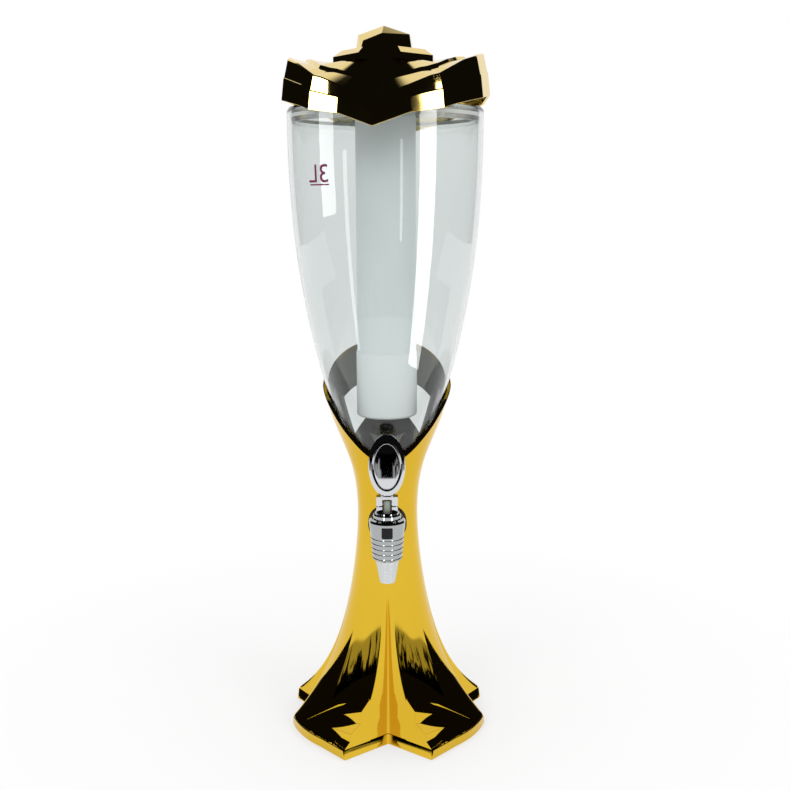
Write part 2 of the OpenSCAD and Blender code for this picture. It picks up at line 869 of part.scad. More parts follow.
// the liner's plug hangs inside the vessel's rim, its flange lies on it
plug_gap = 1;
plug_r = vessel_r(vessel_rim_z) - vessel_wall - plug_gap;
plug_h = 11;
plug_wall = 1.6;
flange_r = vessel_r(vessel_rim_z) - 1.7;
module lid_liner() {
  z0 = vessel_rim_z;
  color([0.9, 0.92, 0.9, 0.8])
    rotate_extrude($fn = 96)
      polygon([
        [roof_hole_r, ceiling_z], [socket_r, ceiling_z], [socket_r, z0 + 4], [plug_r - 4, z0 - 1],
        [plug_r - plug_wall, z0 - plug_h], [plug_r, z0 - plug_h], [plug_r, z0],
        [flange_r, z0], [flange_r, z0 + flange_t],
        [plug_r - 3, z0 + flange_t], [socket_r + socket_wall, z0 + 6.4],
        [socket_r + socket_wall, ceiling_z + ceiling_t],
        [8, ceiling_z + ceiling_t], [8, roof_z - lid_wall], [roof_hole_r, roof_z - lid_wall]
      ]);
}

module lid_seal() {
  z0 = vessel_rim_z;
  color([0.88, 0.88, 0.85])
    translate([0, 0, z0 - 7])
      difference() {
        cylinder(r = plug_r + 0.6, h = 3, $fn = 96);
        translate([0, 0, -1])
          cylinder(r = plug_r + 0.02, h = 5, $fn = 96);
      }
}

knob_screw_head_h = 2.5;
module knob_screw() {
  color([0.6, 0.6, 0.62]) {
    translate([0, 0, ceiling_z - knob_screw_head_h])
      cylinder(r = 4.2, h = knob_screw_head_h, $fn = 32);
    translate([0, 0, ceiling_z - eps])
      cylinder(r = knob_screw_r, h = knob_z + 8 - ceiling_z, $fn = 32);
  }
}

// ---- ice tube ---------------------------------------------------------------------
collar_h = 14;
oring_t = 3;
collar_top = ceiling_z - oring_t - 0.1;
tube_top = collar_top;
cup_floor = 2.5;
cup_wall = 0.9;
module ice_tube() {
  color(frost)
    translate([0, 0, tube_bottom_z + cup_floor])
      difference() {
        cylinder(r = tube_r, h = tube_top - tube_bottom_z - cup_floor, $fn = 96);
        translate([0, 0, -1])
          cylinder(r = tube_r - tube_wall, h = 400, $fn = 96);
      }
}

module tube_cup() {
  color(frost)
    rotate_extrude($fn = 96)
      polygon([
        [0, tube_bottom_z], [tube_r - 3, tube_bottom_z], [tube_r + cup_wall, tube_bottom_z + 3],
        [tube_r + cup_wall, tube_bottom_z + cup_h], [tube_r + 0.05, tube_bottom_z + cup_h],
        [tube_r + 0.05, tube_bottom_z + cup_floor], [0, tube_bottom_z + cup_floor]
      ]);
}

module tube_collar() {
  color([0.85, 0.87, 0.87])
    difference() {
      translate([0, 0, collar_top - collar_h])
        cylinder(r = socket_r - seat_gap, h = collar_h, $fn = 96);
      translate([0, 0, collar_top - collar_h - 1])
        cylinder(r = tube_r + 0.05, h = collar_h + 2, $fn = 96);
    }
}

module tube_oring() {
  color([0.85, 0.85, 0.83])
    translate([0, 0, collar_top])
      difference() {
        cylinder(r = tube_r + 4, h = oring_t, $fn = 96);
        translate([0, 0, -1])
          cylinder(r = tube_r - 1, h = oring_t + 2, $fn = 96);
      }
}

pedestal();
foot_plate();
rubber_feet();
base_screws();
seat_pad();
vessel();
tap_shank();
outer_gasket();
inner_gasket();
lock_nut();
tap_body();
tap_nozzle();
tap_bonnet();
tap_spring();
tap_plunger();
plunger_seal();
lever_pin();
tap_lever();
lever_face();
lid_shell();
lid_crown();
lid_knob();
knob_screw();
lid_liner();
lid_seal();
tube_collar();
tube_oring();
ice_tube();
tube_cup();
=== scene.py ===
"""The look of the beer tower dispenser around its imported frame: plated hourglass pedestal,
clear vessel with its capacity mark, frosted ice tube, faceted lid and chromed tap."""

import math

import bmesh
import bpy
from mathutils import Euler, Matrix, Vector


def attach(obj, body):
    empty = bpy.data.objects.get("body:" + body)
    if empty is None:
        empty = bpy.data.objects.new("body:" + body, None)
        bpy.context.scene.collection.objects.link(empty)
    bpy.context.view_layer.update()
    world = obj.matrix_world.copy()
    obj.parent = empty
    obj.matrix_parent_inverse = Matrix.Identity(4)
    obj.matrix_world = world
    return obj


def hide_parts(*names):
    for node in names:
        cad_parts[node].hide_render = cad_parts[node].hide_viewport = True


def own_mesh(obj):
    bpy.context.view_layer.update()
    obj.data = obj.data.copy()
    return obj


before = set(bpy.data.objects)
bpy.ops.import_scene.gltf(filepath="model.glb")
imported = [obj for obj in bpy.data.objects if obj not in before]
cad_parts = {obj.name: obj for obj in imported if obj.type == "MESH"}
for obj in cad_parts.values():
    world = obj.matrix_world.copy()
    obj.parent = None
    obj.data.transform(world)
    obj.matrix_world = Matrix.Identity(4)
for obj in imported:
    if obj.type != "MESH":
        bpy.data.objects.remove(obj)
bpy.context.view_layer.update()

MM = 0.001


# ---- small mathematics -------------------------------------------------------------------------
def sin(degrees):
    return math.sin(math.radians(degrees))


def cos(degrees):
    return math.cos(math.radians(degrees))


def tan(degrees):
    return math.tan(math.radians(degrees))


def mix(a, b, t):
    return a + (b - a) * t


def ease(t):
    t = min(1.0, max(0.0, t))
    return t * t * (3 - 2 * t)


def cosine_steps(count):
    """Shares from 0 to 1 that crowd at both ends."""
    return [(1 - cos(180 * i / count)) / 2 for i in range(count + 1)]


def even_steps(low, high, step):
    count = max(1, round(abs(high - low) / step))
    return [mix(low, high, i / count) for i in range(count + 1)]


def slope(stations, i):
    a, b = stations[max(0, i - 1)], stations[min(len(stations) - 1, i + 1)]
    return (b[1] - a[1]) / (b[0] - a[0])


def curve_at(stations, at):
    """Smooth curve through [place, value] stations."""
    i = 0
    while i < len(stations) - 2 and at > stations[i + 1][0]:
        i += 1
    (p0, v0), (p1, v1) = stations[i], stations[i + 1]
    h = p1 - p0
    t = (at - p0) / h
    return (
        v0 * (1 + 2 * t) * (1 - t) ** 2
        + slope(stations, i) * h * t * (1 - t) ** 2
        + v1 * t * t * (3 - 2 * t)
        + slope(stations, i + 1) * h * t * t * (t - 1)
    )


def line_at(points, at):
    """Straight stretches through [place, value] points."""
    i = 0
    while i < len(points) - 2 and at > points[i + 1][0]:
        i += 1
    (p0, v0), (p1, v1) = points[i], points[i + 1]
    return v0 + (v1 - v0) * (at - p0) / (p1 - p0)


HALVINGS = 40


def solve(function, low, high):
    """Where an increasing function crosses zero, by halving the stretch."""
    for _ in range(HALVINGS):
        middle = (low + high) / 2
        if function(middle) > 0:
            high = middle
        else:
            low = middle
    return (low + high) / 2


def soft_min(a, b, radius):
    """The lesser of two values, rounded where they cross."""
    h = max(radius - abs(a - b), 0) / radius
    return min(a, b) - h * h * radius / 4


# ---- materials ---------------------------------------------------------------------------------
def new_material(name):
    material = bpy.data.materials.new(name)
    material.use_nodes = True
    nodes = material.node_tree.nodes
    return material, nodes, material.node_tree.links, nodes["Principled BSDF"]


def noise(nodes, links, scale, detail, stretch=(1, 1, 1)):
    """Noise in the object's own metres."""
    place = nodes.new("ShaderNodeTexCoord")
    mapping = nodes.new("ShaderNodeMapping")
    mapping.inputs["Scale"].default_value = stretch
    texture = nodes.new("ShaderNodeTexNoise")
    texture.inputs["Scale"].default_value = scale
    texture.inputs["Detail"].default_value = detail
    links.new(place.outputs["Object"], mapping.inputs["Vector"])
    links.new(mapping.outputs["Vector"], texture.inputs["Vector"])
    return texture.outputs["Fac"]


def ranged(nodes, links, value, low, high, from_low=0.3, from_high=0.7):
    node = nodes.new("ShaderNodeMapRange")
    node.inputs["From Min"].default_value = from_low
    node.inputs["From Max"].default_value = from_high
    node.inputs["To Min"].default_value = low
    node.inputs["To Max"].default_value = high
    links.new(value, node.inputs["Value"])
    return node.outputs["Result"]


def blended(nodes, links, factor, first, second):
    node = nodes.new("ShaderNodeMix")
    node.data_type = "RGBA"
    node.inputs[6].default_value = (*first, 1)
    node.inputs[7].default_value = (*second, 1)
    links.new(factor, node.inputs[0])
    return node.outputs[2]


def bump(nodes, links, shader, height, depth):
    node = nodes.new("ShaderNodeBump")
    node.inputs["Distance"].default_value = depth
    links.new(height, node.inputs["Height"])
    links.new(node.outputs["Normal"], shader.inputs["Normal"])


def tint(nodes, links, shader, field, first, second):
    """Base colour that drifts between two tones."""
    tone = ranged(nodes, links, field, 0, 1)
    links.new(blended(nodes, links, tone, first, second), shader.inputs["Base Color"])


def haze(nodes, links, shader, field, low, high):
    """Roughness that drifts between two values."""
    links.new(ranged(nodes, links, field, low, high), shader.inputs["Roughness"])


def plated(name, light, deep, roughness, wave_depth, wave_scale=14.0):
    """Mirror plating on moulded plastic: slow waves in the surface, faint haze and tone drift."""
    material, nodes, links, shader = new_material(name)
    shader.inputs["Metallic"].default_value = 1.0
    tint(nodes, links, shader, noise(nodes, links, 9.0, 2.0), light, deep)
    haze(nodes, links, shader, noise(nodes, links, 60.0, 5.0), roughness * 0.7, roughness * 1.4)
    bump(nodes, links, shader, noise(nodes, links, wave_scale, 1.0), wave_depth)
    return material


def plastic(name, light, deep, roughness, specular=0.5):
    """Moulded plastic or rubber with a fine grain."""
    material, nodes, links, shader = new_material(name)
    shader.inputs["Specular IOR Level"].default_value = specular
    tint(nodes, links, shader, noise(nodes, links, 35.0, 4.0), light, deep)
    haze(nodes, links, shader, noise(nodes, links, 140.0, 4.0), roughness * 0.85, roughness * 1.15)
    bump(nodes, links, shader, noise(nodes, links, 900.0, 2.0), 0.00003)
    return material


def clear_plastic(name, light, deep):
    """Clear moulded plastic with a faint tint and slow flow waves."""
    material, nodes, links, shader = new_material(name)
    shader.inputs["Transmission Weight"].default_value = 1.0
    shader.inputs["IOR"].default_value = 1.46
    tint(nodes, links, shader, noise(nodes, links, 12.0, 2.0), light, deep)
    haze(nodes, links, shader, noise(nodes, links, 50.0, 4.0), 0.0, 0.03)
    bump(nodes, links, shader, noise(nodes, links, 10.0, 1.0, (1, 1, 0.3)), 0.0002)
    return material


def frosted_plastic(name, light, deep):
    """Milky plastic with a fine grain, through which light spreads a little."""
    material, nodes, links, shader = new_material(name)
    shader.inputs["Subsurface Weight"].default_value = 0.4
    shader.inputs["Subsurface Radius"].default_value = (0.01, 0.01, 0.01)
    tint(nodes, links, shader, noise(nodes, links, 16.0, 3.0, (1, 1, 0.25)), light, deep)
    haze(nodes, links, shader, noise(nodes, links, 400.0, 4.0), 0.36, 0.5)
    bump(nodes, links, shader, noise(nodes, links, 2500.0, 2.0), 0.00002)
    return material


def brushed_steel(name, dark, bright):
    material, nodes, links, shader = new_material(name)
    shader.inputs["Metallic"].default_value = 1.0
    streaks = noise(nodes, links, 300.0, 5.0, (1, 1, 8))
    tint(nodes, links, shader, streaks, dark, bright)
    haze(nodes, links, shader, streaks, 0.22, 0.38)
    bump(nodes, links, shader, streaks, 0.00001)
    return material


GOLD = plated("gold_plating", (0.75, 0.49, 0.038), (0.71, 0.445, 0.03), 0.05, 0.00025)
GOLD_LID = plated("lid_plating", (0.83, 0.63, 0.21), (0.79, 0.58, 0.17), 0.04, 0.0001)
# the collar's inside: plating given a near-black colour, painted shade that stands in for the shade inside
# the collar
SHADED_INSIDE = plated("collar_inside_painted_shade", (0.11, 0.108, 0.082), (0.065, 0.064, 0.05), 0.07, 0.0006, 20.0)
CHROME = plated("chrome_plating", (0.70, 0.71, 0.73), (0.64, 0.65, 0.67), 0.05, 0.00005, 40.0)
# the barrel and bonnet: the lever's chrome with a darker colour, painted shade that stands in for the
# barrel's greyer reflections
SHADED_BARREL_CHROME = plated("barrel_chrome_painted_shade", (0.46, 0.475, 0.48), (0.38, 0.395, 0.40), 0.07, 0.00005, 40.0)
NOZZLE = plated("satin_plating", (0.66, 0.68, 0.69), (0.58, 0.60, 0.61), 0.28, 0.00003, 60.0)
CLEAR = clear_plastic("clear_vessel", (0.825, 0.85, 0.845), (0.80, 0.83, 0.825))
FROST = frosted_plastic("frosted_tube", (0.64, 0.70, 0.695), (0.60, 0.66, 0.655))
FROST_CUP = frosted_plastic("frosted_cup", (0.68, 0.73, 0.725), (0.64, 0.69, 0.685))
LINER = clear_plastic("liner_plastic", (0.93, 0.95, 0.945), (0.91, 0.93, 0.925))
WHITE = plastic("white_nylon", (0.74, 0.74, 0.71), (0.68, 0.68, 0.66), 0.45)
GREY = plastic("grey_acetal", (0.30, 0.34, 0.29), (0.26, 0.29, 0.25), 0.35)
BLACK = plastic("black_abs", (0.018, 0.018, 0.018), (0.028, 0.028, 0.028), 0.45)
INSET = plastic("black_inset", (0.008, 0.008, 0.009), (0.014, 0.014, 0.015), 0.12, specular=0.15)
RUBBER = plastic("black_rubber", (0.012, 0.012, 0.012), (0.022, 0.022, 0.021), 0.6)
SILICONE = plastic("milky_silicone", (0.66, 0.67, 0.64), (0.58, 0.59, 0.56), 0.5)
STEEL = brushed_steel("brushed_steel", (0.55, 0.56, 0.57), (0.68, 0.68, 0.69))
MARK = plastic("printed_mark", (0.16, 0.015, 0.07), (0.20, 0.02, 0.09), 0.4)

NODE_MATERIALS = {
    "foot_plate": BLACK, "rubber_feet": RUBBER, "base_screws": STEEL, "seat_pad": SILICONE,
    "tap_shank": STEEL, "outer_gasket": RUBBER, "inner_gasket": SILICONE, "lock_nut": WHITE,
    "tap_body": SHADED_BARREL_CHROME, "tap_nozzle": NOZZLE, "tap_bonnet": SHADED_BARREL_CHROME, "tap_spring": STEEL,
    "tap_plunger": GREY, "plunger_seal": SILICONE, "lever_pin": STEEL, "knob_screw": STEEL,
    "lid_liner": LINER, "lid_seal": SILICONE, "tube_collar": LINER, "tube_oring": SILICONE,
    "pedestal": GOLD, "vessel": CLEAR, "tap_lever": CHROME, "lever_face": CHROME,
    "lid_shell": GOLD_LID, "lid_crown": GOLD_LID, "lid_knob": GOLD_LID,
    "ice_tube": FROST, "tube_cup": FROST_CUP,
}


def dress_nodes():
    for name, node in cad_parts.items():
        node.data.materials.clear()
        node.data.materials.append(NODE_MATERIALS[name])


# ---- mesh helpers ------------------------------------------------------------------------------
def add_object(name, data):
    thing = bpy.data.objects.new(name, data)
    bpy.context.scene.collection.objects.link(thing)
    return thing


def add_piece(name, points, faces, materials, body, replaces=(), crease=32.0, painted=None):
    """A smooth mesh piece, points in millimetres, that rides a body and stands for CAD nodes."""
    mesh = bpy.data.meshes.new(name)
    mesh.from_pydata([Vector(p) * MM for p in points], [], faces)
    for material in materials:
        mesh.materials.append(material)
    if painted:
        for polygon, index in zip(mesh.polygons, painted):
            polygon.material_index = index
    tidy = bmesh.new()
    tidy.from_mesh(mesh)
    bmesh.ops.remove_doubles(tidy, verts=tidy.verts, dist=1e-7)
    bmesh.ops.recalc_face_normals(tidy, faces=tidy.faces)
    tidy.to_mesh(mesh)
    tidy.free()
    for polygon in mesh.polygons:
        polygon.use_smooth = True
    mesh.set_sharp_from_angle(angle=math.radians(crease))
    piece = add_object(name, mesh)
    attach(piece, body)
    if replaces:
        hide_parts(*replaces)
    return piece


def ring_faces(rings, closed=False):
    """Quads between neighbouring rings of equal length; each ring is closed on itself."""
    n = len(rings[0])
    m = len(rings)
    faces = []
    for i in range(m if closed else m - 1):
        k = (i + 1) % m
        for j in range(n):
            faces.append((i * n + j, i * n + (j + 1) % n, k * n + (j + 1) % n, k * n + j))
    return faces


def around(r, angle, z):
    """A point at a radius and an angle round the tower's axis, from the tap's side to the right."""
    return (r * sin(angle), -r * cos(angle), z)


def lathe(profile, sides):
    """Rings of points round the tower's axis for a [radius, height] profile."""
    return [[around(r, 360 * j / sides, z) for j in range(sides)] for r, z in profile]


def flat(rings):
    return [p for ring in rings for p in ring]


# ---- sizes of the pedestal and vessel, in millimetres ------------------------------------------
WAIST_Z = 205
WALL = 2.4
# radius that the slow and the fast part of the flare add at the table, and how late each sets in
FLARE_SLOW, FLARE_FAST = 43, 38
SLOW_BEND, FAST_BEND = 1.75, 6
RIM_H, RIM_LIFT, RIM_EDGE, RIM_LOW_EDGE = 9.5, 0.8, 0.5, 0.4
FOOT_R, TIP_X, TIP_Y = 95.5, 38.7, 97.3
VALLEY_R, SIDE_MORE, VALLEY_TOP, VALLEY_START = 68, 5, 140, 0.3
FRONT_Z, SIDE_Z, BACK_Z = 260, 321, 358
RIBBON_W, RIBBON_PROUD = 25, 0.8
SPINE_HALF, WINDOW_ANGLE, WINDOW_Z = 12, 124, 274
SPIGOT_R, VESSEL_FIT, VESSEL_WALL = 25.4, 0.4, 2.5
VESSEL_LOW, VESSEL_RIM = 166, 571
SEAT_Z = VESSEL_LOW - 1.5
SEAT_HOLE_R = SPIGOT_R - 6
# height over which the small step between waist and collar fades
STEP_FADE = 30
# radius of the small ring that ends a turned profile on the axis
AXIS_R = 0.01

# the vessel's outside, as [height, radius]
VESSEL = [
    (VESSEL_LOW, SPIGOT_R - 0.2), (212, SPIGOT_R), (240, SPIGOT_R + 3.2), (265, 35.6), (298, 48.2),
    (345, 62), (397, 73.4), (455, 82), (520, 86.6), (VESSEL_RIM, 87.3),
]
WAIST_R = SPIGOT_R + VESSEL_FIT + WALL
# the collar's rim in the side view, as [depth from the axis, height]
RIM_CURVE = [
    (-48, FRONT_Z - 28), (-37, FRONT_Z), (-30, FRONT_Z + 23), (-20, SIDE_Z - 18), (0, SIDE_Z),
    (25, SIDE_Z + 13), (66, BACK_Z), (90, BACK_Z + 12),
]
# the lower edge of a window, as [distance beside the middle, height]
WINDOW_FOOT = [
    (SPINE_HALF, WINDOW_Z + 22), (SPINE_HALF + 8, WINDOW_Z + 14), (36, WINDOW_Z - 4), (90, WINDOW_Z - 4),
]


def flare_r(z):
    """The pedestal's radius below the waist, before the feet are cut."""
    t = max(0.0, (WAIST_Z - z) / WAIST_Z)
    return WAIST_R + FLARE_SLOW * t**SLOW_BEND + FLARE_FAST * t**FAST_BEND


def column_r(z):
    """The pedestal's outer radius: the flare below the waist, a shell round the vessel above it."""
    if z < WAIST_Z:
        return flare_r(z)
    step = WAIST_R - (curve_at(VESSEL, WAIST_Z) + VESSEL_FIT + WALL)
    return curve_at(VESSEL, z) + VESSEL_FIT + WALL + step * (1 - ease((z - WAIST_Z) / STEP_FADE))


def offset_line():
    """The ribbon's lower edge: the rim curve moved down square to itself, as [depth, height]."""
    points = []
    for y in range(-47, 90, 2):
        tilt = math.degrees(math.atan(curve_at(RIM_CURVE, y + 0.5) - curve_at(RIM_CURVE, y - 0.5)))
        points.append((y + RIBBON_W * sin(tilt), curve_at(RIM_CURVE, y) - RIBBON_W * cos(tilt)))
    return points


RIBBON_LINE = offset_line()

# ---- star plan of the feet ---------------------------------------------------------------------
WALL_ANGLE = math.degrees(math.atan2(TIP_X, TIP_Y - VALLEY_R))
LEAN = 90 - WALL_ANGLE
ARC_START = 41
SOFT_VALLEY = 0.006
RIDGE_ROUND, OUTLINE_ROUND = 1.0, 0.5
# a ray that runs nearly along a valley's wall doesn't meet it
LEAST_SPREAD, BEYOND = 0.05, 1e4


def valley_depth(z, more):
    """Distance of a valley's floor from the tower's axis."""
    t = max(0.0, (VALLEY_TOP - z) / VALLEY_TOP)
    top = flare_r(VALLEY_TOP) - VALLEY_START
    return top + (VALLEY_R + more - top) * t**SLOW_BEND + max(0.0, z - VALLEY_TOP)


def wall_reach(angle, z, more, inset=0.0):
    """Reach of a valley's wall at an angle from the valley's own axis."""
    spread = cos(angle) - math.sqrt(sin(angle) ** 2 + SOFT_VALLEY**2) * tan(LEAN)
    if spread <= LEAST_SPREAD:
        return BEYOND
    return (valley_depth(z, more) - inset / cos(LEAN)) / spread


def outline_reach(angle):
    """Reach of the feet's outline, from the front axis (0) to the side axis (90)."""
    if angle >= ARC_START:
        return FOOT_R
    dx, dy = FOOT_R * sin(ARC_START) - TIP_X, FOOT_R * cos(ARC_START) - TIP_Y
    return (TIP_X * dy - TIP_Y * dx) / (sin(angle) * dy - cos(angle) * dx)


def plain_reach(angle, z, on_rim, inset):
    """Reach of the feet before the valleys are cut."""
    outline = outline_reach(angle)
    return (outline if on_rim else soft_min(flare_r(z), outline, OUTLINE_ROUND)) - inset


def foot_reach(angle, z, on_rim=False, inset=0.0):
    """Reach of the feet, with the front valley at 0 degrees and the side valley at 90."""
    reach = plain_reach(angle, z, on_rim, inset)
    if z >= VALLEY_TOP:
        return reach
    front = wall_reach(angle, z, 0, inset)
    side = wall_reach(90 - angle, z, SIDE_MORE, inset)
    return soft_min(soft_min(reach, front, RIDGE_ROUND), side, RIDGE_ROUND)


RIDGE_SPAN = 50


def ridge_angle(z, more, front, on_rim, inset):
    """Angle from a valley's axis to the ridge where its wall meets the foot."""

    def gap(angle):
        from_front = angle if front else 90 - angle
        return wall_reach(angle, z, more, inset) - plain_reach(from_front, z, on_rim, inset)

    return solve(gap, 0, RIDGE_SPAN)


# columns of one quarter between its knots: valley, ridge, corner, ridge, valley
QUARTER = (10, 20, 20, 10)
FINEST_RIDGE = 2.5
# between these heights the columns turn from the feet's ridges to the windows' edges
BLEND_LOW, BLEND_HIGH = VALLEY_TOP, 225
SIDE_KNOT = 76


def knots(z, on_rim=False, inset=0.0, radius=None):
    """The angles, in one quarter, that the main columns of the mesh pass through at a height."""
    low = (0, FINEST_RIDGE, ARC_START, 90 - FINEST_RIDGE, 90)
    if z < VALLEY_TOP:
        first = max(FINEST_RIDGE, ridge_angle(z, 0, True, on_rim, inset))
        last = max(FINEST_RIDGE, ridge_angle(z, SIDE_MORE, False, on_rim, inset))
        return (0, first, ARC_START, 90 - last, 90)
    radius = radius or column_r(z)
    spine = math.degrees(math.asin(min(1, SPINE_HALF / radius)))
    high = (0, spine, 180 - WINDOW_ANGLE, SIDE_KNOT, 90)
    t = ease((z - BLEND_LOW) / (BLEND_HIGH - BLEND_LOW))
    return tuple(mix(a, b, t) for a, b in zip(low, high))


def quarter_angles(z, **options):
    """The angles of a quarter's columns at a height."""
    places = knots(z, **options)
    angles = [0.0]
    for count, a, b in zip(QUARTER, places, places[1:]):
        angles += [mix(a, b, t) for t in cosine_steps(count)[1:]]
    return angles


QUARTER_N = sum(QUARTER)
RING_N = 4 * QUARTER_N
# places of a back quarter, from the spine, where a window starts and ends
SPINE_END, WINDOW_END = QUARTER[0], QUARTER[0] + QUARTER[1]


def column_place(index):
    """Quarter (0 to 3) and place in it (0 to QUARTER_N) of a column."""
    quarter, place = divmod(index, QUARTER_N)
    return quarter, (place if quarter % 2 == 0 else QUARTER_N - place)


def whole_angle(quarter, angle):
    """The turn round the tower of an angle in a quarter."""
    return (angle, 180 - angle, 180 + angle, 360 - angle)[quarter]


def ring(z, reach, **options):
    """A closed ring of the pedestal at one height; reach(angle in the quarter) gives its radius."""
    angles = quarter_angles(z, **options)
    points = []
    for index in range(RING_N):
        quarter, place = column_place(index)
        points.append(around(reach(angles[place]), whole_angle(quarter, angles[place]), z))
    return points


# heights between which the ribbon's lower edge, the rim and the windows' feet are looked for
RIBBON_SPAN, RIM_SPAN, WINDOW_SPAN = (212, 372), (220, 380), (240, 330)


def collar_column(index, inset):
    """One column of the collar: its turn at a height, and where it meets the ribbon and the rim."""
    quarter, place = column_place(index)
    proud = RIBBON_PROUD if inset == 0 else 0

    def turn(z):
        return whole_angle(quarter, quarter_angles(z, radius=column_r(z) - inset)[place])

    def depth(z, more=0.0):
        return -(column_r(z) - inset + more) * cos(turn(z))

    ribbon = solve(lambda z: z - line_at(RIBBON_LINE, depth(z)), *RIBBON_SPAN)
    rim = solve(lambda z: z - curve_at(RIM_CURVE, depth(z, proud)), *RIM_SPAN)
    return turn, ribbon, rim


def window_foot(index, inset):
    """Height on a column of the collar where its window starts."""
    place = column_place(index)[1]

    def height(z):
        r = column_r(z) - inset
        return z - line_at(WINDOW_FOOT, r * sin(quarter_angles(z, radius=r)[place]))

    return solve(height, *WINDOW_SPAN)


COLLAR_BASE = WAIST_Z
LOW_ROWS, WINDOW_ROWS, RIBBON_ROWS = 22, 12, 10


def is_back(index):
    """Whether a column lies in the back half, which has the windows."""
    return column_place(index)[0] in (1, 2)


def collar_rows(inset):
    """Rows of points from the collar's base to its rim, each a full ring, low to high."""
    columns = [collar_column(i, inset) for i in range(RING_N)]
    shares = {}
    for place in (SPINE_END, WINDOW_END):
        index = 2 * QUARTER_N - place
        foot = window_foot(index, inset)
        shares[place] = (foot - COLLAR_BASE) / (columns[index][1] - COLLAR_BASE)
    rows = [[] for _ in range(LOW_ROWS + WINDOW_ROWS + RIBBON_ROWS + 1)]
    for index, (turn, ribbon, rim) in enumerate(columns):
        place = column_place(index)[1]
        if is_back(index) and SPINE_END < place < WINDOW_END:
            foot = window_foot(index, inset)
        else:
            share = shares[SPINE_END] if is_back(index) and place <= SPINE_END else shares[WINDOW_END]
            foot = mix(COLLAR_BASE, ribbon, share)
        heights = [mix(COLLAR_BASE, foot, k / LOW_ROWS) for k in range(LOW_ROWS)]
        heights += [mix(foot, ribbon, k / WINDOW_ROWS) for k in range(WINDOW_ROWS)]
        heights += [mix(ribbon, rim, k / RIBBON_ROWS) for k in range(RIBBON_ROWS + 1)]
        for row, z in zip(rows, heights):
            row.append(around(column_r(z) - inset, turn(z), z))
    return rows


def pushed(row, out, up=0.0):
    """A row moved outwards and up."""
    moved = []
    for x, y, z in row:
        r = math.hypot(x, y)
        moved.append((x * (r + out) / r, y * (r + out) / r, z + up))
    return moved


# just above the rim the outside of a foot stays behind the rim's upper edge
RIM_CLEAR = 12
FOOT_STEP, INNER_STEP = 2.0, 8


def pedestal_rings():
    """All rings, from the rim up the outside, over the collar's edge and down the inside.

    Returns the rings, 1 for each that gets the painted shade of the collar's inside, and where the two
    collars start."""
    rings = []
    in_shade = []

    def add(points, shaded=0):
        rings.append(points)
        in_shade.append(shaded)

    def outside(angle, z):
        reach = foot_reach(angle, z)
        return min(reach, outline_reach(angle) - RIM_EDGE) if z < RIM_CLEAR else reach

    # outside of the feet
    low = RIM_LIFT + RIM_LOW_EDGE
    for z, back in ((RIM_LIFT, RIM_LOW_EDGE), (low, 0.0), (RIM_H - RIM_EDGE, 0.0), (RIM_H, RIM_EDGE)):
        add(ring(z, lambda a: foot_reach(a, z, True) - back, on_rim=True))
    for z in even_steps(RIM_H + 0.1, COLLAR_BASE - 1, FOOT_STEP):
        add(ring(z, lambda a: outside(a, z)))
    # outside of the collar, with the ribbon proud of it
    outer = collar_rows(0.0)
    window_high = LOW_ROWS + WINDOW_ROWS
    first_outer = len(rings)
    for row in outer[: window_high + 1]:
        add(row)
    add(pushed(outer[window_high], RIBBON_PROUD * 0.6, 0.1))
    add(pushed(outer[window_high], RIBBON_PROUD, 0.6))
    for row in outer[window_high + 1 : -1]:
        add(pushed(row, RIBBON_PROUD))
    add(pushed(outer[-1], RIBBON_PROUD, -0.6))
    add(pushed(outer[-1], RIBBON_PROUD - 0.5, 0.0))
    # inside of the collar
    inner = collar_rows(WALL)
    add(pushed(inner[-1], 0.3, 0.0), 1)
    add(pushed(inner[-1], 0.0, -0.4), 1)
    for row in reversed(inner[window_high:-1]):
        add(row, 1)
    first_inner = len(rings) - 1
    for row in reversed(inner[:window_high]):
        add(row, 1)
    # seat of the vessel, and the inside of the feet
    for z in even_steps(COLLAR_BASE - 5, SEAT_Z, INNER_STEP):
        add(ring(z, lambda a: column_r(z) - WALL), 1)
    add(ring(SEAT_Z, lambda a: SEAT_HOLE_R), 1)
    add(ring(SEAT_Z - WALL, lambda a: SEAT_HOLE_R), 1)
    for z in even_steps(SEAT_Z - WALL, RIM_H, INNER_STEP):
        add(ring(z, lambda a: foot_reach(a, z, False, WALL), inset=WALL))
    add(ring(RIM_LIFT, lambda a: foot_reach(a, RIM_LIFT, True, WALL), on_rim=True, inset=WALL))
    return rings, in_shade, first_outer, first_inner


def in_window(column):
    """Whether the strip from a column to the next lies in a window."""
    quarter, place = divmod(column, QUARTER_N)
    if quarter == 1:
        return QUARTER_N - WINDOW_END <= place < QUARTER_N - SPINE_END
    return quarter == 2 and SPINE_END <= place < WINDOW_END


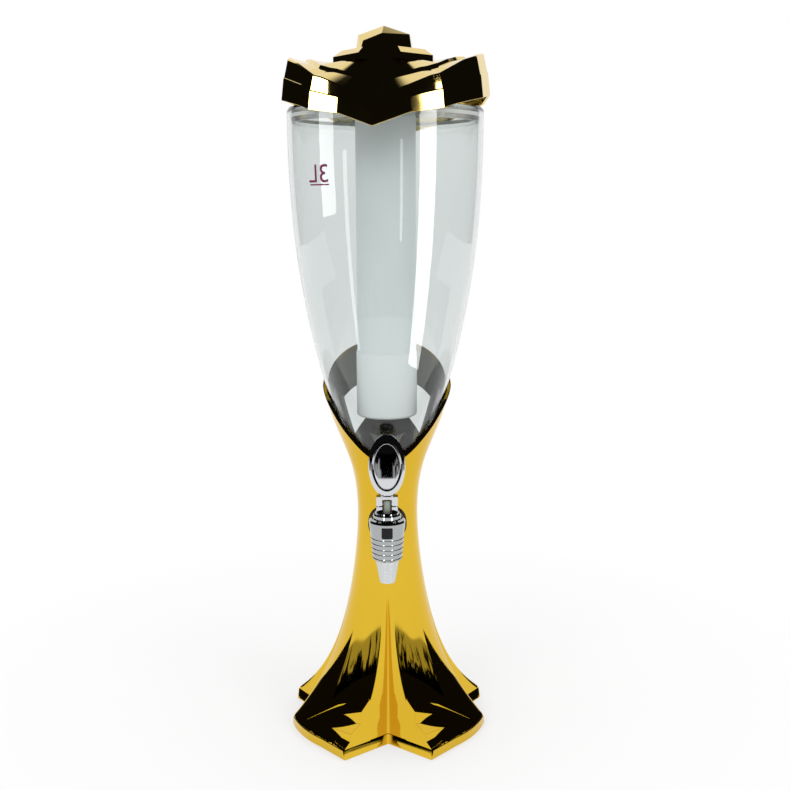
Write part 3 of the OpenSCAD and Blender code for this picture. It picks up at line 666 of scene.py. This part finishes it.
def build_pedestal():
    rings, in_shade, first_outer, first_inner = pedestal_rings()
    count = len(rings)
    window_low = first_outer + LOW_ROWS
    outer_cells = range(window_low, window_low + WINDOW_ROWS)
    inner_cells = range(first_inner, first_inner + WINDOW_ROWS)
    faces = []
    painted = []
    for i in range(count):
        k = (i + 1) % count
        for j in range(RING_N):
            if in_window(j) and (i in outer_cells or i in inner_cells):
                continue
            n = (j + 1) % RING_N
            faces.append((i * RING_N + j, i * RING_N + n, k * RING_N + n, k * RING_N + j))
            painted.append(in_shade[i] * in_shade[k])

    def bridge(row, column, next_row, next_column):
        """A face through the wall between two points outside and the same two inside."""
        low, high = (window_low + row) * RING_N, (window_low + next_row) * RING_N
        first = (first_inner + WINDOW_ROWS - row) * RING_N
        second = (first_inner + WINDOW_ROWS - next_row) * RING_N
        faces.append((low + column, high + next_column, second + next_column, first + column))
        painted.append(0)

    for j in range(RING_N):
        if in_window(j):
            bridge(0, j, 0, j + 1)
            bridge(WINDOW_ROWS, j, WINDOW_ROWS, j + 1)
        if in_window(j) != in_window((j - 1) % RING_N):
            for k in range(WINDOW_ROWS):
                bridge(k, j, k + 1, j)
    # the second material paints shade on the collar's inside and on the vessel's seat
    materials = [GOLD, SHADED_INSIDE]
    add_piece(
        "pedestal_shell", flat(rings), faces, materials, "tower", ["pedestal"], 28, painted
    )


# ---- pleats of the feet ------------------------------------------------------------------------
# a fan starts at its apex and a shoulder on the foot; its edge is [sideways, height] on the valley's wall
PLEAT_APEX, PLEAT_SHOULDER = (75.9, -47.7, 15.5), (46, -57, 34.6)
PLEAT_EDGE = [(16.3, 43.5), (24.3, 35), (25.2, 25.4), (34, 19.8), (34.3, 13.8), (TIP_X, RIM_H)]
PLEAT_BASE, PLEAT_PROUD, PLEAT_ROWS = 5, 0.06, 5


def on_valley_wall(x, z):
    """A point just proud of the front valley's wall, at a sideways place and a height."""
    return (x, -(valley_depth(z, 0) - PLEAT_PROUD) - x / tan(WALL_ANGLE), z)


def pleat_row(t):
    """The fan's outline, lowered towards its base by a share: on the valley's wall, or straight down."""
    row = [(x, y, mix(z, PLEAT_BASE, t)) for x, y, z in (PLEAT_APEX, PLEAT_SHOULDER)]
    return row + [on_valley_wall(x, mix(z, PLEAT_BASE, t)) for x, z in PLEAT_EDGE]


def build_pleats():
    """Four fans of folds that rise from the corner of a foot to its valley's edge."""
    fan = flat([pleat_row(row / PLEAT_ROWS) for row in range(PLEAT_ROWS + 1)])
    n = 2 + len(PLEAT_EDGE)
    last = PLEAT_ROWS * n
    made = [(0, i, i + 1) for i in range(1, n - 1)]
    made += [(last, last + i + 1, last + i) for i in range(1, n - 1)]
    for a in range(0, last, n):
        made += [(a + i, a + n + i, a + n + (i + 1) % n, a + (i + 1) % n) for i in range(n)]
    points, faces = [], []
    for mirror_x in (1, -1):
        for mirror_y in (1, -1):
            start = len(points)
            points += [(x * mirror_x, y * mirror_y, z) for x, y, z in fan]
            faces += [tuple(start + i for i in face) for face in made]
    piece = add_piece("foot_pleats", points, faces, [GOLD], "tower", (), 12)
    edge = piece.modifiers.new("edge", "BEVEL")
    edge.width = 0.35 * MM
    edge.segments = 2
    edge.limit_method = "ANGLE"
    edge.angle_limit = math.radians(14)
    edge.harden_normals = True


# ---- vessel and ice tube -----------------------------------------------------------------------
VESSEL_FLOOR, VESSEL_STEP = 3, 3.0


def build_vessel():
    heights = even_steps(VESSEL_LOW + 1.5, VESSEL_RIM - 0.6, VESSEL_STEP)
    floor_z = VESSEL_LOW + VESSEL_FLOOR
    rim_r = curve_at(VESSEL, VESSEL_RIM)
    profile = [(AXIS_R, VESSEL_LOW), (SPIGOT_R - 2, VESSEL_LOW), (SPIGOT_R - 0.9, VESSEL_LOW + 0.4)]
    profile += [(curve_at(VESSEL, z), z) for z in heights]
    profile += [(rim_r - 0.3, VESSEL_RIM), (rim_r - VESSEL_WALL + 0.3, VESSEL_RIM)]
    profile += [(curve_at(VESSEL, z) - VESSEL_WALL, z) for z in reversed(heights) if z > floor_z + 1.5]
    profile += [(SPIGOT_R - VESSEL_WALL - 2, floor_z), (AXIS_R, floor_z)]
    rings = lathe(profile, 192)
    vessel = add_piece(
        "clear_vessel", flat(rings), ring_faces(rings), [CLEAR], "tower", ["vessel"], 40
    )
    # soft light passes the clear wall and reaches what stands inside
    vessel.visible_shadow = vessel.visible_diffuse = False


TUBE_R, TUBE_WALL, TUBE_LOW, TUBE_TOP = 27, 2, 297, 592.4
CUP_H, CUP_WALL, CUP_FLOOR = 60, 0.9, 2.5


def build_ice_tube():
    low, inner_r = TUBE_LOW + CUP_FLOOR, TUBE_R - TUBE_WALL
    profile = [(TUBE_R - 0.2, low), (TUBE_R, low + 0.3), (TUBE_R, TUBE_TOP - 0.3), (TUBE_R - 0.3, TUBE_TOP)]
    profile += [(inner_r + 0.2, TUBE_TOP), (inner_r, TUBE_TOP - 0.3), (inner_r, low)]
    rings = lathe(profile, 128)
    faces = ring_faces(rings, True)
    add_piece("frosted_tube", flat(rings), faces, [FROST], "ice_unit", ["ice_tube"])


def build_tube_cup():
    r, bend, high = TUBE_R + CUP_WALL, 3.0, TUBE_LOW + CUP_H
    inner_r, floor_z = TUBE_R + 0.05, TUBE_LOW + CUP_FLOOR
    profile = [(AXIS_R, TUBE_LOW), (r - bend, TUBE_LOW)]
    profile += [(r - bend + bend * sin(a), TUBE_LOW + bend - bend * cos(a)) for a in range(15, 91, 15)]
    profile += [(r, high - 0.4), (r - 0.3, high), (inner_r, high), (inner_r, floor_z), (AXIS_R, floor_z)]
    rings = lathe(profile, 128)
    add_piece(
        "tube_end", flat(rings), ring_faces(rings), [FROST_CUP], "ice_unit", ["tube_cup"]
    )


# ---- lid ---------------------------------------------------------------------------------------
LID_R, LID_TIP, LID_WALL, LID_TURN = 92, 100, 2.4, -5.7
ROOF_Z, ROOF_STEP, ROOF_HOLE_R, ROOF_WIDEN = 610, 0.42, 2.4, 1.04
# heights of the lid's edges, as [share of the way to a tip, height]
SKIRT_LOW = [(0, 583), (0.3, 578.5), (0.6, 571), (0.87, 562.4), (1, 551)]
SKIRT_SEAM = [(0, 603), (0.34, 596.7), (0.6, 588.5), (0.87, 575), (1, 563)]
SKIRT_TOP = [(0, 618), (0.25, 614), (0.45, 607.8), (0.77, 592.2), (0.89, 582.7), (1, 571)]
SKIRT_UNDER = [(0, 614.8), (0.25, 610.8), (0.45, 604.6), (0.77, 589), (0.89, 580.2), (1, 570.8)]
LID_SIDES = 240

# corners of the lid's plan: angle from a tip and reach
LID_CORNERS = [(0, LID_TIP), (19.5, 91.8), (37.5, 92.2), (70.5, 92.4), (90, 92.6)]


def lid_reach(angle):
    """Reach of the many-sided plan at an angle from a tip."""
    m = angle % 180
    b = min(m, 180 - m)
    i = 0
    while i < len(LID_CORNERS) - 2 and b > LID_CORNERS[i + 1][0]:
        i += 1
    (a0, r0), (a1, r1) = LID_CORNERS[i], LID_CORNERS[i + 1]
    return r0 * r1 * sin(a1 - a0) / (r1 * sin(a1 - b) + r0 * sin(b - a0))


def octagon_reach(angle):
    """Reach of the roof's eight-sided plan, a little wider than the lid."""
    return LID_R * ROOF_WIDEN * cos(22.5) / cos(angle % 45 - 22.5)


def lid_share(angle):
    """Share of the way to a tip, measured along the line between the tips."""
    return min(1.0, lid_reach(angle) * abs(cos(angle)) / LID_TIP)


def lid_ring(share, heights, up=0.0, back=0.0):
    """A ring of the skirt at a share of the plan, moved up and inwards."""
    points = []
    for i in range(LID_SIDES):
        a = 360 * i / LID_SIDES
        points.append(around(lid_reach(a) * share - back, a, line_at(heights, lid_share(a)) + up))
    return points


def roof_ring(share, rise, up=0.0):
    """A ring of the roof, at a share of the rise from the skirt's top to the flat top."""
    points = []
    for i in range(LID_SIDES):
        a = 360 * i / LID_SIDES
        z = mix(line_at(SKIRT_TOP, lid_share(a)), ROOF_Z, rise) + up
        points.append(around(octagon_reach(a) * share, a, z))
    return points


def turned(points):
    """Points turned with the lid, which sits a few degrees askew."""
    c, s = cos(LID_TURN), sin(LID_TURN)
    return [(x * c - y * s, x * s + y * c, z) for x, y, z in points]


def build_lid():
    rings = [
        lid_ring(0.95, SKIRT_UNDER, 0, LID_WALL), lid_ring(1, SKIRT_LOW, 0, LID_WALL),
        lid_ring(1, SKIRT_LOW, 0, 0.3), lid_ring(1, SKIRT_LOW, 0.3),
        lid_ring(0.977, SKIRT_SEAM, -0.3), lid_ring(0.977, SKIRT_SEAM, 0, 0.3),
        lid_ring(0.968, SKIRT_SEAM, 0.8),
        lid_ring(0.935, SKIRT_TOP, -0.3), lid_ring(0.935, SKIRT_TOP, 0, 0.3), lid_ring(0.92, SKIRT_TOP, 0.8),
        roof_ring(0.75, ROOF_STEP, -1.2), roof_ring(0.73, ROOF_STEP, 1.6), roof_ring(0.5, 1),
        *lathe([(ROOF_HOLE_R, ROOF_Z), (ROOF_HOLE_R, ROOF_Z - LID_WALL)], LID_SIDES),
        roof_ring(0.48, 1, -LID_WALL), roof_ring(0.7, ROOF_STEP, -3.2),
    ]
    points, faces = turned(flat(rings)), ring_faces(rings, True)
    add_piece("lid_shell_skin", points, faces, [GOLD_LID], "lid", ["lid_shell"], 4)


# ---- tap lever ---------------------------------------------------------------------------------
TAP_Y, TAP_Z, TAP_R = -54, 200, 16.5
STEM_TOP = 229
PADDLE_W, PADDLE_H, PADDLE_GAP = 33, 57, 3.5
PADDLE_MID = STEM_TOP + PADDLE_GAP + PADDLE_H / 2
PADDLE_LEAN = 4
BADGE_PROUD, BADGE_ROUND, BADGE_LONG = 5.6, 40, 250
OVAL_SIDES = 96


def oval_point(k, angle):
    """Sideways and upward place on an oval at a share of the paddle's size."""
    return PADDLE_W / 2 * k * cos(angle), PADDLE_H / 2 * k * sin(angle)


def oval_rings(profile):
    """Rings of the paddle's oval, which leans in front, for [share of its size, depth] stations."""
    rings = []
    for k, y in profile:
        ring = []
        for j in range(OVAL_SIDES):
            side, up = oval_point(k, 360 * j / OVAL_SIDES)
            lean = -up * tan(PADDLE_LEAN) if y < 0 else 0
            ring.append((side, TAP_Y + y - lean, PADDLE_MID + up))
        rings.append(ring)
    return rings


def badge_point(k, angle):
    """A point of the insert's front, which bends little along its height and more across."""
    side, up = oval_point(k, angle)
    depth = BADGE_PROUD - up * tan(PADDLE_LEAN) - side**2 / (2 * BADGE_ROUND) - up**2 / (2 * BADGE_LONG)
    return side, TAP_Y - depth, PADDLE_MID + up


def build_lever():
    profile = [(AXIS_R, -2.6), (0.735, -2.6), (0.735, -3.9), (0.75, -4.1), (0.78, -4.2), (0.85, -4.0)]
    profile += [(1 - 0.19 * (1 - cos(a)) ** 1.2, -3.88 * sin(a)) for a in range(70, -71, -10)]
    profile += [(0.80, 4.0), (0.5, 4.4), (AXIS_R, 4.5)]
    rings = oval_rings(profile)
    add_piece("lever_paddle", flat(rings), ring_faces(rings), [CHROME], "lever", (), 35)
    rings = oval_rings([(0.71, -2.7), (0.715, -3.2)])
    # the insert's edge is rounded, so its outer rings lie a little deeper
    deeper = [(0.715, 0.5), (0.70, 0.12)]
    for k, drop in deeper + [(k, 0) for k in (0.67, 0.6, 0.5, 0.4, 0.3, 0.2, 0.1, 0.003)]:
        front = [badge_point(k, 360 * j / OVAL_SIDES) for j in range(OVAL_SIDES)]
        rings.append([(x, y + drop, z) for x, y, z in front])
    add_piece(
        "lever_badge", flat(rings), ring_faces(rings), [CHROME], "lever", ["lever_face"], 35
    )


# ---- inside and front of the barrel ------------------------------------------------------------
SPRING_LOW, SPRING_HIGH, SPRING_R, WIRE_R, SPRING_TURNS = 186.15, 209.45, 6.3, 0.55, 6
TURN_STEPS, WIRE_SIDES = 24, 10


def build_spring():
    """The coil spring round the stem, which the plunger squeezes against the bonnet."""
    steps = SPRING_TURNS * TURN_STEPS
    rings = []
    for i in range(steps + 1):
        a = 360 * i / TURN_STEPS
        z = mix(SPRING_LOW, SPRING_HIGH, i / steps)
        wire_r = WIRE_R * (0.02 if i in (0, steps) else 1)
        ring = []
        for j in range(WIRE_SIDES):
            b = 360 * j / WIRE_SIDES
            r = SPRING_R + wire_r * cos(b)
            ring.append((r * cos(a), TAP_Y + r * sin(a), z + wire_r * sin(b)))
        rings.append(ring)
    spring = add_piece(
        "plunger_spring", flat(rings), ring_faces(rings), [STEEL], "tower", ["tap_spring"], 60
    )
    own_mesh(spring)


INSET_WIDTH, INSET_DEPTH, INSET_CORNER, INSET_STEPS = 9.9, 0.35, 1.3, 6
INSET_Z, INSET_R = TAP_Z + 2.6, TAP_R - 0.35
# the plate's back, its side and its slightly rounded front, as [share of the outline, distance back]
INSET_RINGS = [(0.02, 1.0), (0.5, 1.0), (1, 1.0), (1, 0.12), (0.975, 0.0)]
INSET_RINGS += [(share, 0.0) for share in (0.75, 0.5, 0.25, 0.02)]


def build_inset():
    """A bare black plate in the recess on the front of the barrel."""
    outline = []
    reach = INSET_WIDTH / 2 - INSET_CORNER
    for turn, right, up in ((0, 1, 1), (90, -1, 1), (180, -1, -1), (270, 1, -1)):
        for k in range(INSET_STEPS + 1):
            a = turn + 90 * k / INSET_STEPS
            outline.append((reach * right + INSET_CORNER * cos(a), reach * up + INSET_CORNER * sin(a)))
    rings = []
    for share, back in INSET_RINGS:
        r = INSET_R - INSET_DEPTH - back
        rings.append([
            (x * share, TAP_Y - math.sqrt(r * r - (x * share) ** 2), INSET_Z + z * share) for x, z in outline
        ])
    add_piece("barrel_inset", flat(rings), ring_faces(rings), [INSET], "tower", (), 35)


# ---- capacity mark -----------------------------------------------------------------------------
# in metres: the letters, their line, and where the mark sits on the vessel
MARK_SIZE, MARK_WIDEN, MARK_MIDDLE, MARK_PROUD = 0.0215, 1.12, 0.0085, 0.00012
LINE_X, LINE_Y, LINE_HALF, LINE_THICK = 0.0103, -0.0019, 0.0096, 0.0006
MARK_TURN, MARK_Z = 141.4, 0.5078


def build_mark():
    """The litre mark on the vessel's far wall, with its line, bent onto the glass."""
    text = bpy.data.curves.new("capacity", "FONT")
    text.body = "3L"
    text.size = MARK_SIZE
    letters = add_object("capacity_letters", text)
    bpy.context.view_layer.update()
    mesh = bpy.data.meshes.new_from_object(letters.evaluated_get(bpy.context.evaluated_depsgraph_get()))
    bpy.data.objects.remove(letters)
    shape = bmesh.new()
    shape.from_mesh(mesh)
    line = bmesh.ops.create_grid(shape, x_segments=12, y_segments=1, size=1)["verts"]
    for v in line:
        v.co = Vector((LINE_X + v.co.x * LINE_HALF, LINE_Y + v.co.y * LINE_THICK, 0))
    bmesh.ops.triangulate(shape, faces=shape.faces)
    bmesh.ops.subdivide_edges(shape, edges=shape.edges, cuts=2)
    for v in shape.verts:
        z = MARK_Z + v.co.y
        r = curve_at(VESSEL, z / MM) * MM + MARK_PROUD
        turn = 180 + MARK_TURN - math.degrees((v.co.x - MARK_MIDDLE) * MARK_WIDEN / r)
        v.co = Vector(around(r, turn, z))
    shape.to_mesh(mesh)
    shape.free()
    mesh.materials.clear()
    mesh.materials.append(MARK)
    piece = add_object("capacity_mark", mesh)
    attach(piece, "tower")


# ---- stage, light and camera -------------------------------------------------------------------
DEGREES = 180 / math.pi


class Sums:
    """Sums of shader values, wired in one node tree."""

    def __init__(self, tree):
        self.nodes = tree.nodes
        self.links = tree.links

    def put(self, value, socket):
        if isinstance(value, (int, float)):
            socket.default_value = value
        else:
            self.links.new(value, socket)

    def math(self, operation, *values):
        node = self.nodes.new("ShaderNodeMath")
        node.operation = operation
        for value, socket in zip(values, node.inputs):
            self.put(value, socket)
        return node.outputs[0]

    def inverse(self, value):
        return self.math("SUBTRACT", 1.0, value)

    def step(self, value, low, high):
        """0 below low, 1 above high, soft between."""
        node = self.nodes.new("ShaderNodeMapRange")
        node.interpolation_type = "SMOOTHSTEP"
        node.inputs["From Min"].default_value = low
        node.inputs["From Max"].default_value = high
        self.put(value, node.inputs["Value"])
        return node.outputs["Result"]

    def parts(self, vector):
        node = self.nodes.new("ShaderNodeSeparateXYZ")
        self.put(vector, node.inputs[0])
        return node.outputs

    def turn(self, x, y):
        """Degrees from the camera's side (-Y), to either side."""
        radians = self.math("ARCTAN2", x, self.math("MULTIPLY", y, -1.0))
        return self.math("ABSOLUTE", self.math("MULTIPLY", radians, DEGREES))

    def glow(self, strength):
        node = self.nodes.new("ShaderNodeEmission")
        node.inputs["Color"].default_value = (1, 1, 1, 1)
        self.put(strength, node.inputs["Strength"])
        return node.outputs[0]

    def mixed(self, factor, first, second):
        node = self.nodes.new("ShaderNodeMixShader")
        for value, socket in zip((factor, first, second), node.inputs):
            self.put(value, socket)
        return node.outputs[0]


# the card round the front of the table: reach, top of its white, top of its haze, how far its ends sink
CARD_REACH, CARD_TOP, CARD_END, CARD_SINK = 0.565, 0.148, 0.27, 0.045
CARD_HALF, CARD_STEP, SINK_START = 92, 4, 50
HAZE_LIGHT, HAZE_HALF, HAZE_SOFT = 0.42, 12, 5
# the white backdrop behind the tower, in degrees to either side and up, in the dark studio
BACKDROP_HALF, BACKDROP_SOFT, BACKDROP_LIGHT = 42, 3, 0.985
CEILING, CEILING_SOFT = 50, 2
STUDIO_LIGHT, SOFT_LIGHT = 0.005, 0.85
# distances from the tower between which the floor fades into the background
FLOOR_HALF, FADE_LOW, FADE_HIGH = 3.0, 0.12, 0.55


def build_floor():
    """A pale floor that fades to white, and is dark in mirrors past the card."""
    mesh = bpy.data.meshes.new("floor")
    shape = bmesh.new()
    bmesh.ops.create_grid(shape, x_segments=4, y_segments=4, size=FLOOR_HALF)
    shape.to_mesh(mesh)
    shape.free()
    material, nodes, links, shader = new_material("pale_floor")
    shader.inputs["Base Color"].default_value = (0.9, 0.9, 0.9, 1)
    shader.inputs["Roughness"].default_value = 0.7
    sums = Sums(material.node_tree)
    place = nodes.new("ShaderNodeTexCoord").outputs["Object"]
    length = nodes.new("ShaderNodeVectorMath")
    length.operation = "LENGTH"
    links.new(place, length.inputs[0])
    far = ranged(nodes, links, length.outputs["Value"], 0.55, 1.0, FADE_LOW, FADE_HIGH)
    path = nodes.new("ShaderNodeLightPath").outputs
    seen = sums.math("MAXIMUM", path["Is Camera Ray"], path["Is Transmission Ray"])
    seen = sums.math("MAXIMUM", seen, path["Is Glossy Ray"])
    surface = sums.mixed(sums.math("MULTIPLY", far, seen), shader.outputs[0], sums.glow(1.0))
    past = sums.math("LESS_THAN", sums.parts(place)["Y"], -CARD_REACH)
    mirrored = sums.math("GREATER_THAN", path["Is Glossy Ray"], path["Is Transmission Ray"])
    surface = sums.mixed(sums.math("MULTIPLY", past, mirrored), surface, sums.glow(0.0))
    links.new(surface, nodes["Material Output"].inputs["Surface"])
    mesh.materials.append(material)
    add_object("floor", mesh)


def build_card():
    """A low white card round the front of the table, seen in mirrors only, with streaks of light over it."""
    angles = range(-CARD_HALF, CARD_HALF + 1, CARD_STEP)
    n = len(angles)
    points = [around(CARD_REACH, a, z) for z in (0.0, CARD_TOP, CARD_END) for a in angles]
    faces = [(row + i, row + i + 1, row + n + i + 1, row + n + i) for row in (0, n) for i in range(n - 1)]
    mesh = bpy.data.meshes.new("card")
    mesh.from_pydata(points, [], faces)
    card = add_object("card", mesh)
    card.visible_camera = card.visible_diffuse = card.visible_shadow = card.visible_transmission = False
    material, nodes, links, shader = new_material("card_light")
    nodes.remove(shader)
    sums = Sums(material.node_tree)
    place = nodes.new("ShaderNodeTexCoord").outputs["Object"]
    x, y, z = sums.parts(place)
    turn = sums.turn(x, y)
    # the white sinks towards the sides
    sink = sums.math("MULTIPLY", sums.step(turn, SINK_START, CARD_HALF), CARD_SINK)
    over = sums.math("SUBTRACT", sums.math("ADD", z, sink), CARD_TOP)
    white = sums.inverse(sums.step(over, -0.004, 0.004))
    streaks = nodes.new("ShaderNodeTexNoise")
    streaks.inputs["Scale"].default_value = 12.0
    streaks.inputs["Detail"].default_value = 5.0
    streaks.inputs["Distortion"].default_value = 1.2
    links.new(place, streaks.inputs["Vector"])
    streak = sums.step(streaks.outputs["Fac"], 0.3, 0.68)
    reach = sums.math("MULTIPLY", streak, CARD_END - CARD_TOP - 0.02)
    mist = sums.inverse(sums.step(sums.math("SUBTRACT", over, reach), -0.02, 0.015))
    aside = sums.step(turn, HAZE_HALF, HAZE_HALF + HAZE_SOFT)
    mist = sums.math("MULTIPLY", sums.math("MULTIPLY", mist, aside), HAZE_LIGHT)
    light = sums.glow(sums.math("MAXIMUM", white, mist))
    links.new(light, nodes["Material Output"].inputs["Surface"])
    mesh.materials.append(material)


def build_world():
    """A white backdrop in a dark studio, and plain white where it is seen directly or through the vessel."""
    world = bpy.data.worlds.new("studio")
    world.use_nodes = True
    bpy.context.scene.world = world
    nodes, links = world.node_tree.nodes, world.node_tree.links
    nodes.clear()
    sums = Sums(world.node_tree)
    x, y, z = sums.parts(nodes.new("ShaderNodeTexCoord").outputs["Generated"])
    elevation = sums.math("MULTIPLY", sums.math("ARCSINE", z), DEGREES)
    edge = 180 - BACKDROP_HALF
    behind = sums.step(sums.turn(x, y), edge - BACKDROP_SOFT, edge + BACKDROP_SOFT)
    ceiling = sums.step(elevation, CEILING - CEILING_SOFT, CEILING + CEILING_SOFT)
    backdrop = sums.math("MULTIPLY", sums.math("MULTIPLY", behind, sums.inverse(ceiling)), BACKDROP_LIGHT)
    studio = sums.math("ADD", backdrop, STUDIO_LIGHT)
    path = nodes.new("ShaderNodeLightPath").outputs
    seen = sums.math("MAXIMUM", path["Is Camera Ray"], path["Is Transmission Ray"])
    plain = sums.math("MULTIPLY", path["Is Diffuse Ray"], SOFT_LIGHT)
    background = nodes.new("ShaderNodeBackground")
    background.inputs["Color"].default_value = (1, 1, 1, 1)
    sums.put(sums.math("MAXIMUM", sums.math("MAXIMUM", studio, seen), plain), background.inputs["Strength"])
    output = nodes.new("ShaderNodeOutputWorld")
    links.new(background.outputs[0], output.inputs["Surface"])


def build_lamp(name, place, aim, size, power, mirrored=False):
    """An area lamp, seen in mirrors only where asked."""
    data = bpy.data.lights.new(name, "AREA")
    data.shape = "RECTANGLE"
    data.size, data.size_y = size
    data.energy = power
    lamp = add_object(name, data)
    lamp.location = place
    lamp.rotation_euler = (Vector(aim) - Vector(place)).to_track_quat("-Z", "Y").to_euler()
    lamp.visible_camera = lamp.visible_transmission = False
    lamp.visible_glossy = mirrored
    return lamp


# soft boxes by the pieces they light: azimuth from the camera's side to the right as seen from the tower,
# distance, lower and upper edge, width, light
SOFTBOXES = [
    (("lid_shell_skin", "lid_crown", "lid_knob"), {
        "softbox_left": (-72, 1.2, 0.76, 1.35, 0.46, 9.0),
        "softbox_right": (51.5, 1.2, 0.76, 1.35, 0.40, 9.0),
    }),
    (("clear_vessel",), {
        "glass_left": (-68, 1.0, 0.36, 0.75, 0.34, 8.0),
        "glass_right": (46, 0.5, 0.05, 0.62, 0.17, 12.0),
        "glass_strip": (-43, 0.5, 0.10, 0.54, 0.04, 5.0),
        "glass_line": (17, 0.5, 0.36, 0.56, 0.025, 5.0),
    }),
    (("tap_body", "tap_bonnet", "tap_nozzle"), {
        "tap_left": (-24, 0.5, 0.01, 0.30, 0.06, 9.0),
        "tap_right": (34, 0.5, 0.01, 0.30, 0.06, 9.0),
    }),
]


def build_softbox(name, receivers, azimuth, distance, low, high, width, light):
    """An upright lamp that lights its receivers only."""
    middle = (low + high) / 2
    power = light * math.pi * width * (high - low)
    place = around(distance, azimuth, middle)
    lamp = build_lamp(name, place, (0, 0, middle), (width, high - low), power, True)
    lit = bpy.data.collections.new(name + "_lit")
    for receiver in receivers:
        lit.objects.link(bpy.data.objects[receiver])
    lamp.light_linking.receiver_collection = lit


CAMERA_PLACE = (0.0075, -0.962, 0.488)
CAMERA_DOWN, CAMERA_ROLL = 10.2, -0.25
SENSOR = 36.0
FOCAL_PIXELS, FRAME_PIXELS = 1050, 790


def build_camera():
    data = bpy.data.cameras.new("camera")
    data.sensor_width = SENSOR
    data.lens = SENSOR * FOCAL_PIXELS / FRAME_PIXELS
    data.clip_start = 0.01
    camera = add_object("camera", data)
    aim = Euler((math.radians(90 - CAMERA_DOWN), 0, 0)).to_matrix().to_4x4()
    roll = Matrix.Rotation(math.radians(CAMERA_ROLL), 4, "Z")
    camera.matrix_world = Matrix.Translation(CAMERA_PLACE) @ aim @ roll
    bpy.context.scene.camera = camera


bpy.context.scene.view_settings.view_transform = "Standard"
build_camera()
dress_nodes()
build_pedestal()
build_pleats()
build_vessel()
build_ice_tube()
build_tube_cup()
build_lid()
build_lever()
build_spring()
build_inset()
build_mark()
build_floor()
build_card()
build_world()
build_lamp("key", (-0.9, -1.3, 1.5), (0, 0, 0.3), (0.8, 0.8), 9)
build_lamp("fill", (1.2, -1.0, 1.2), (0, 0, 0.3), (0.8, 0.8), 6)
for receivers, boxes in SOFTBOXES:
    for name, box in boxes.items():
        build_softbox(name, receivers, *box)
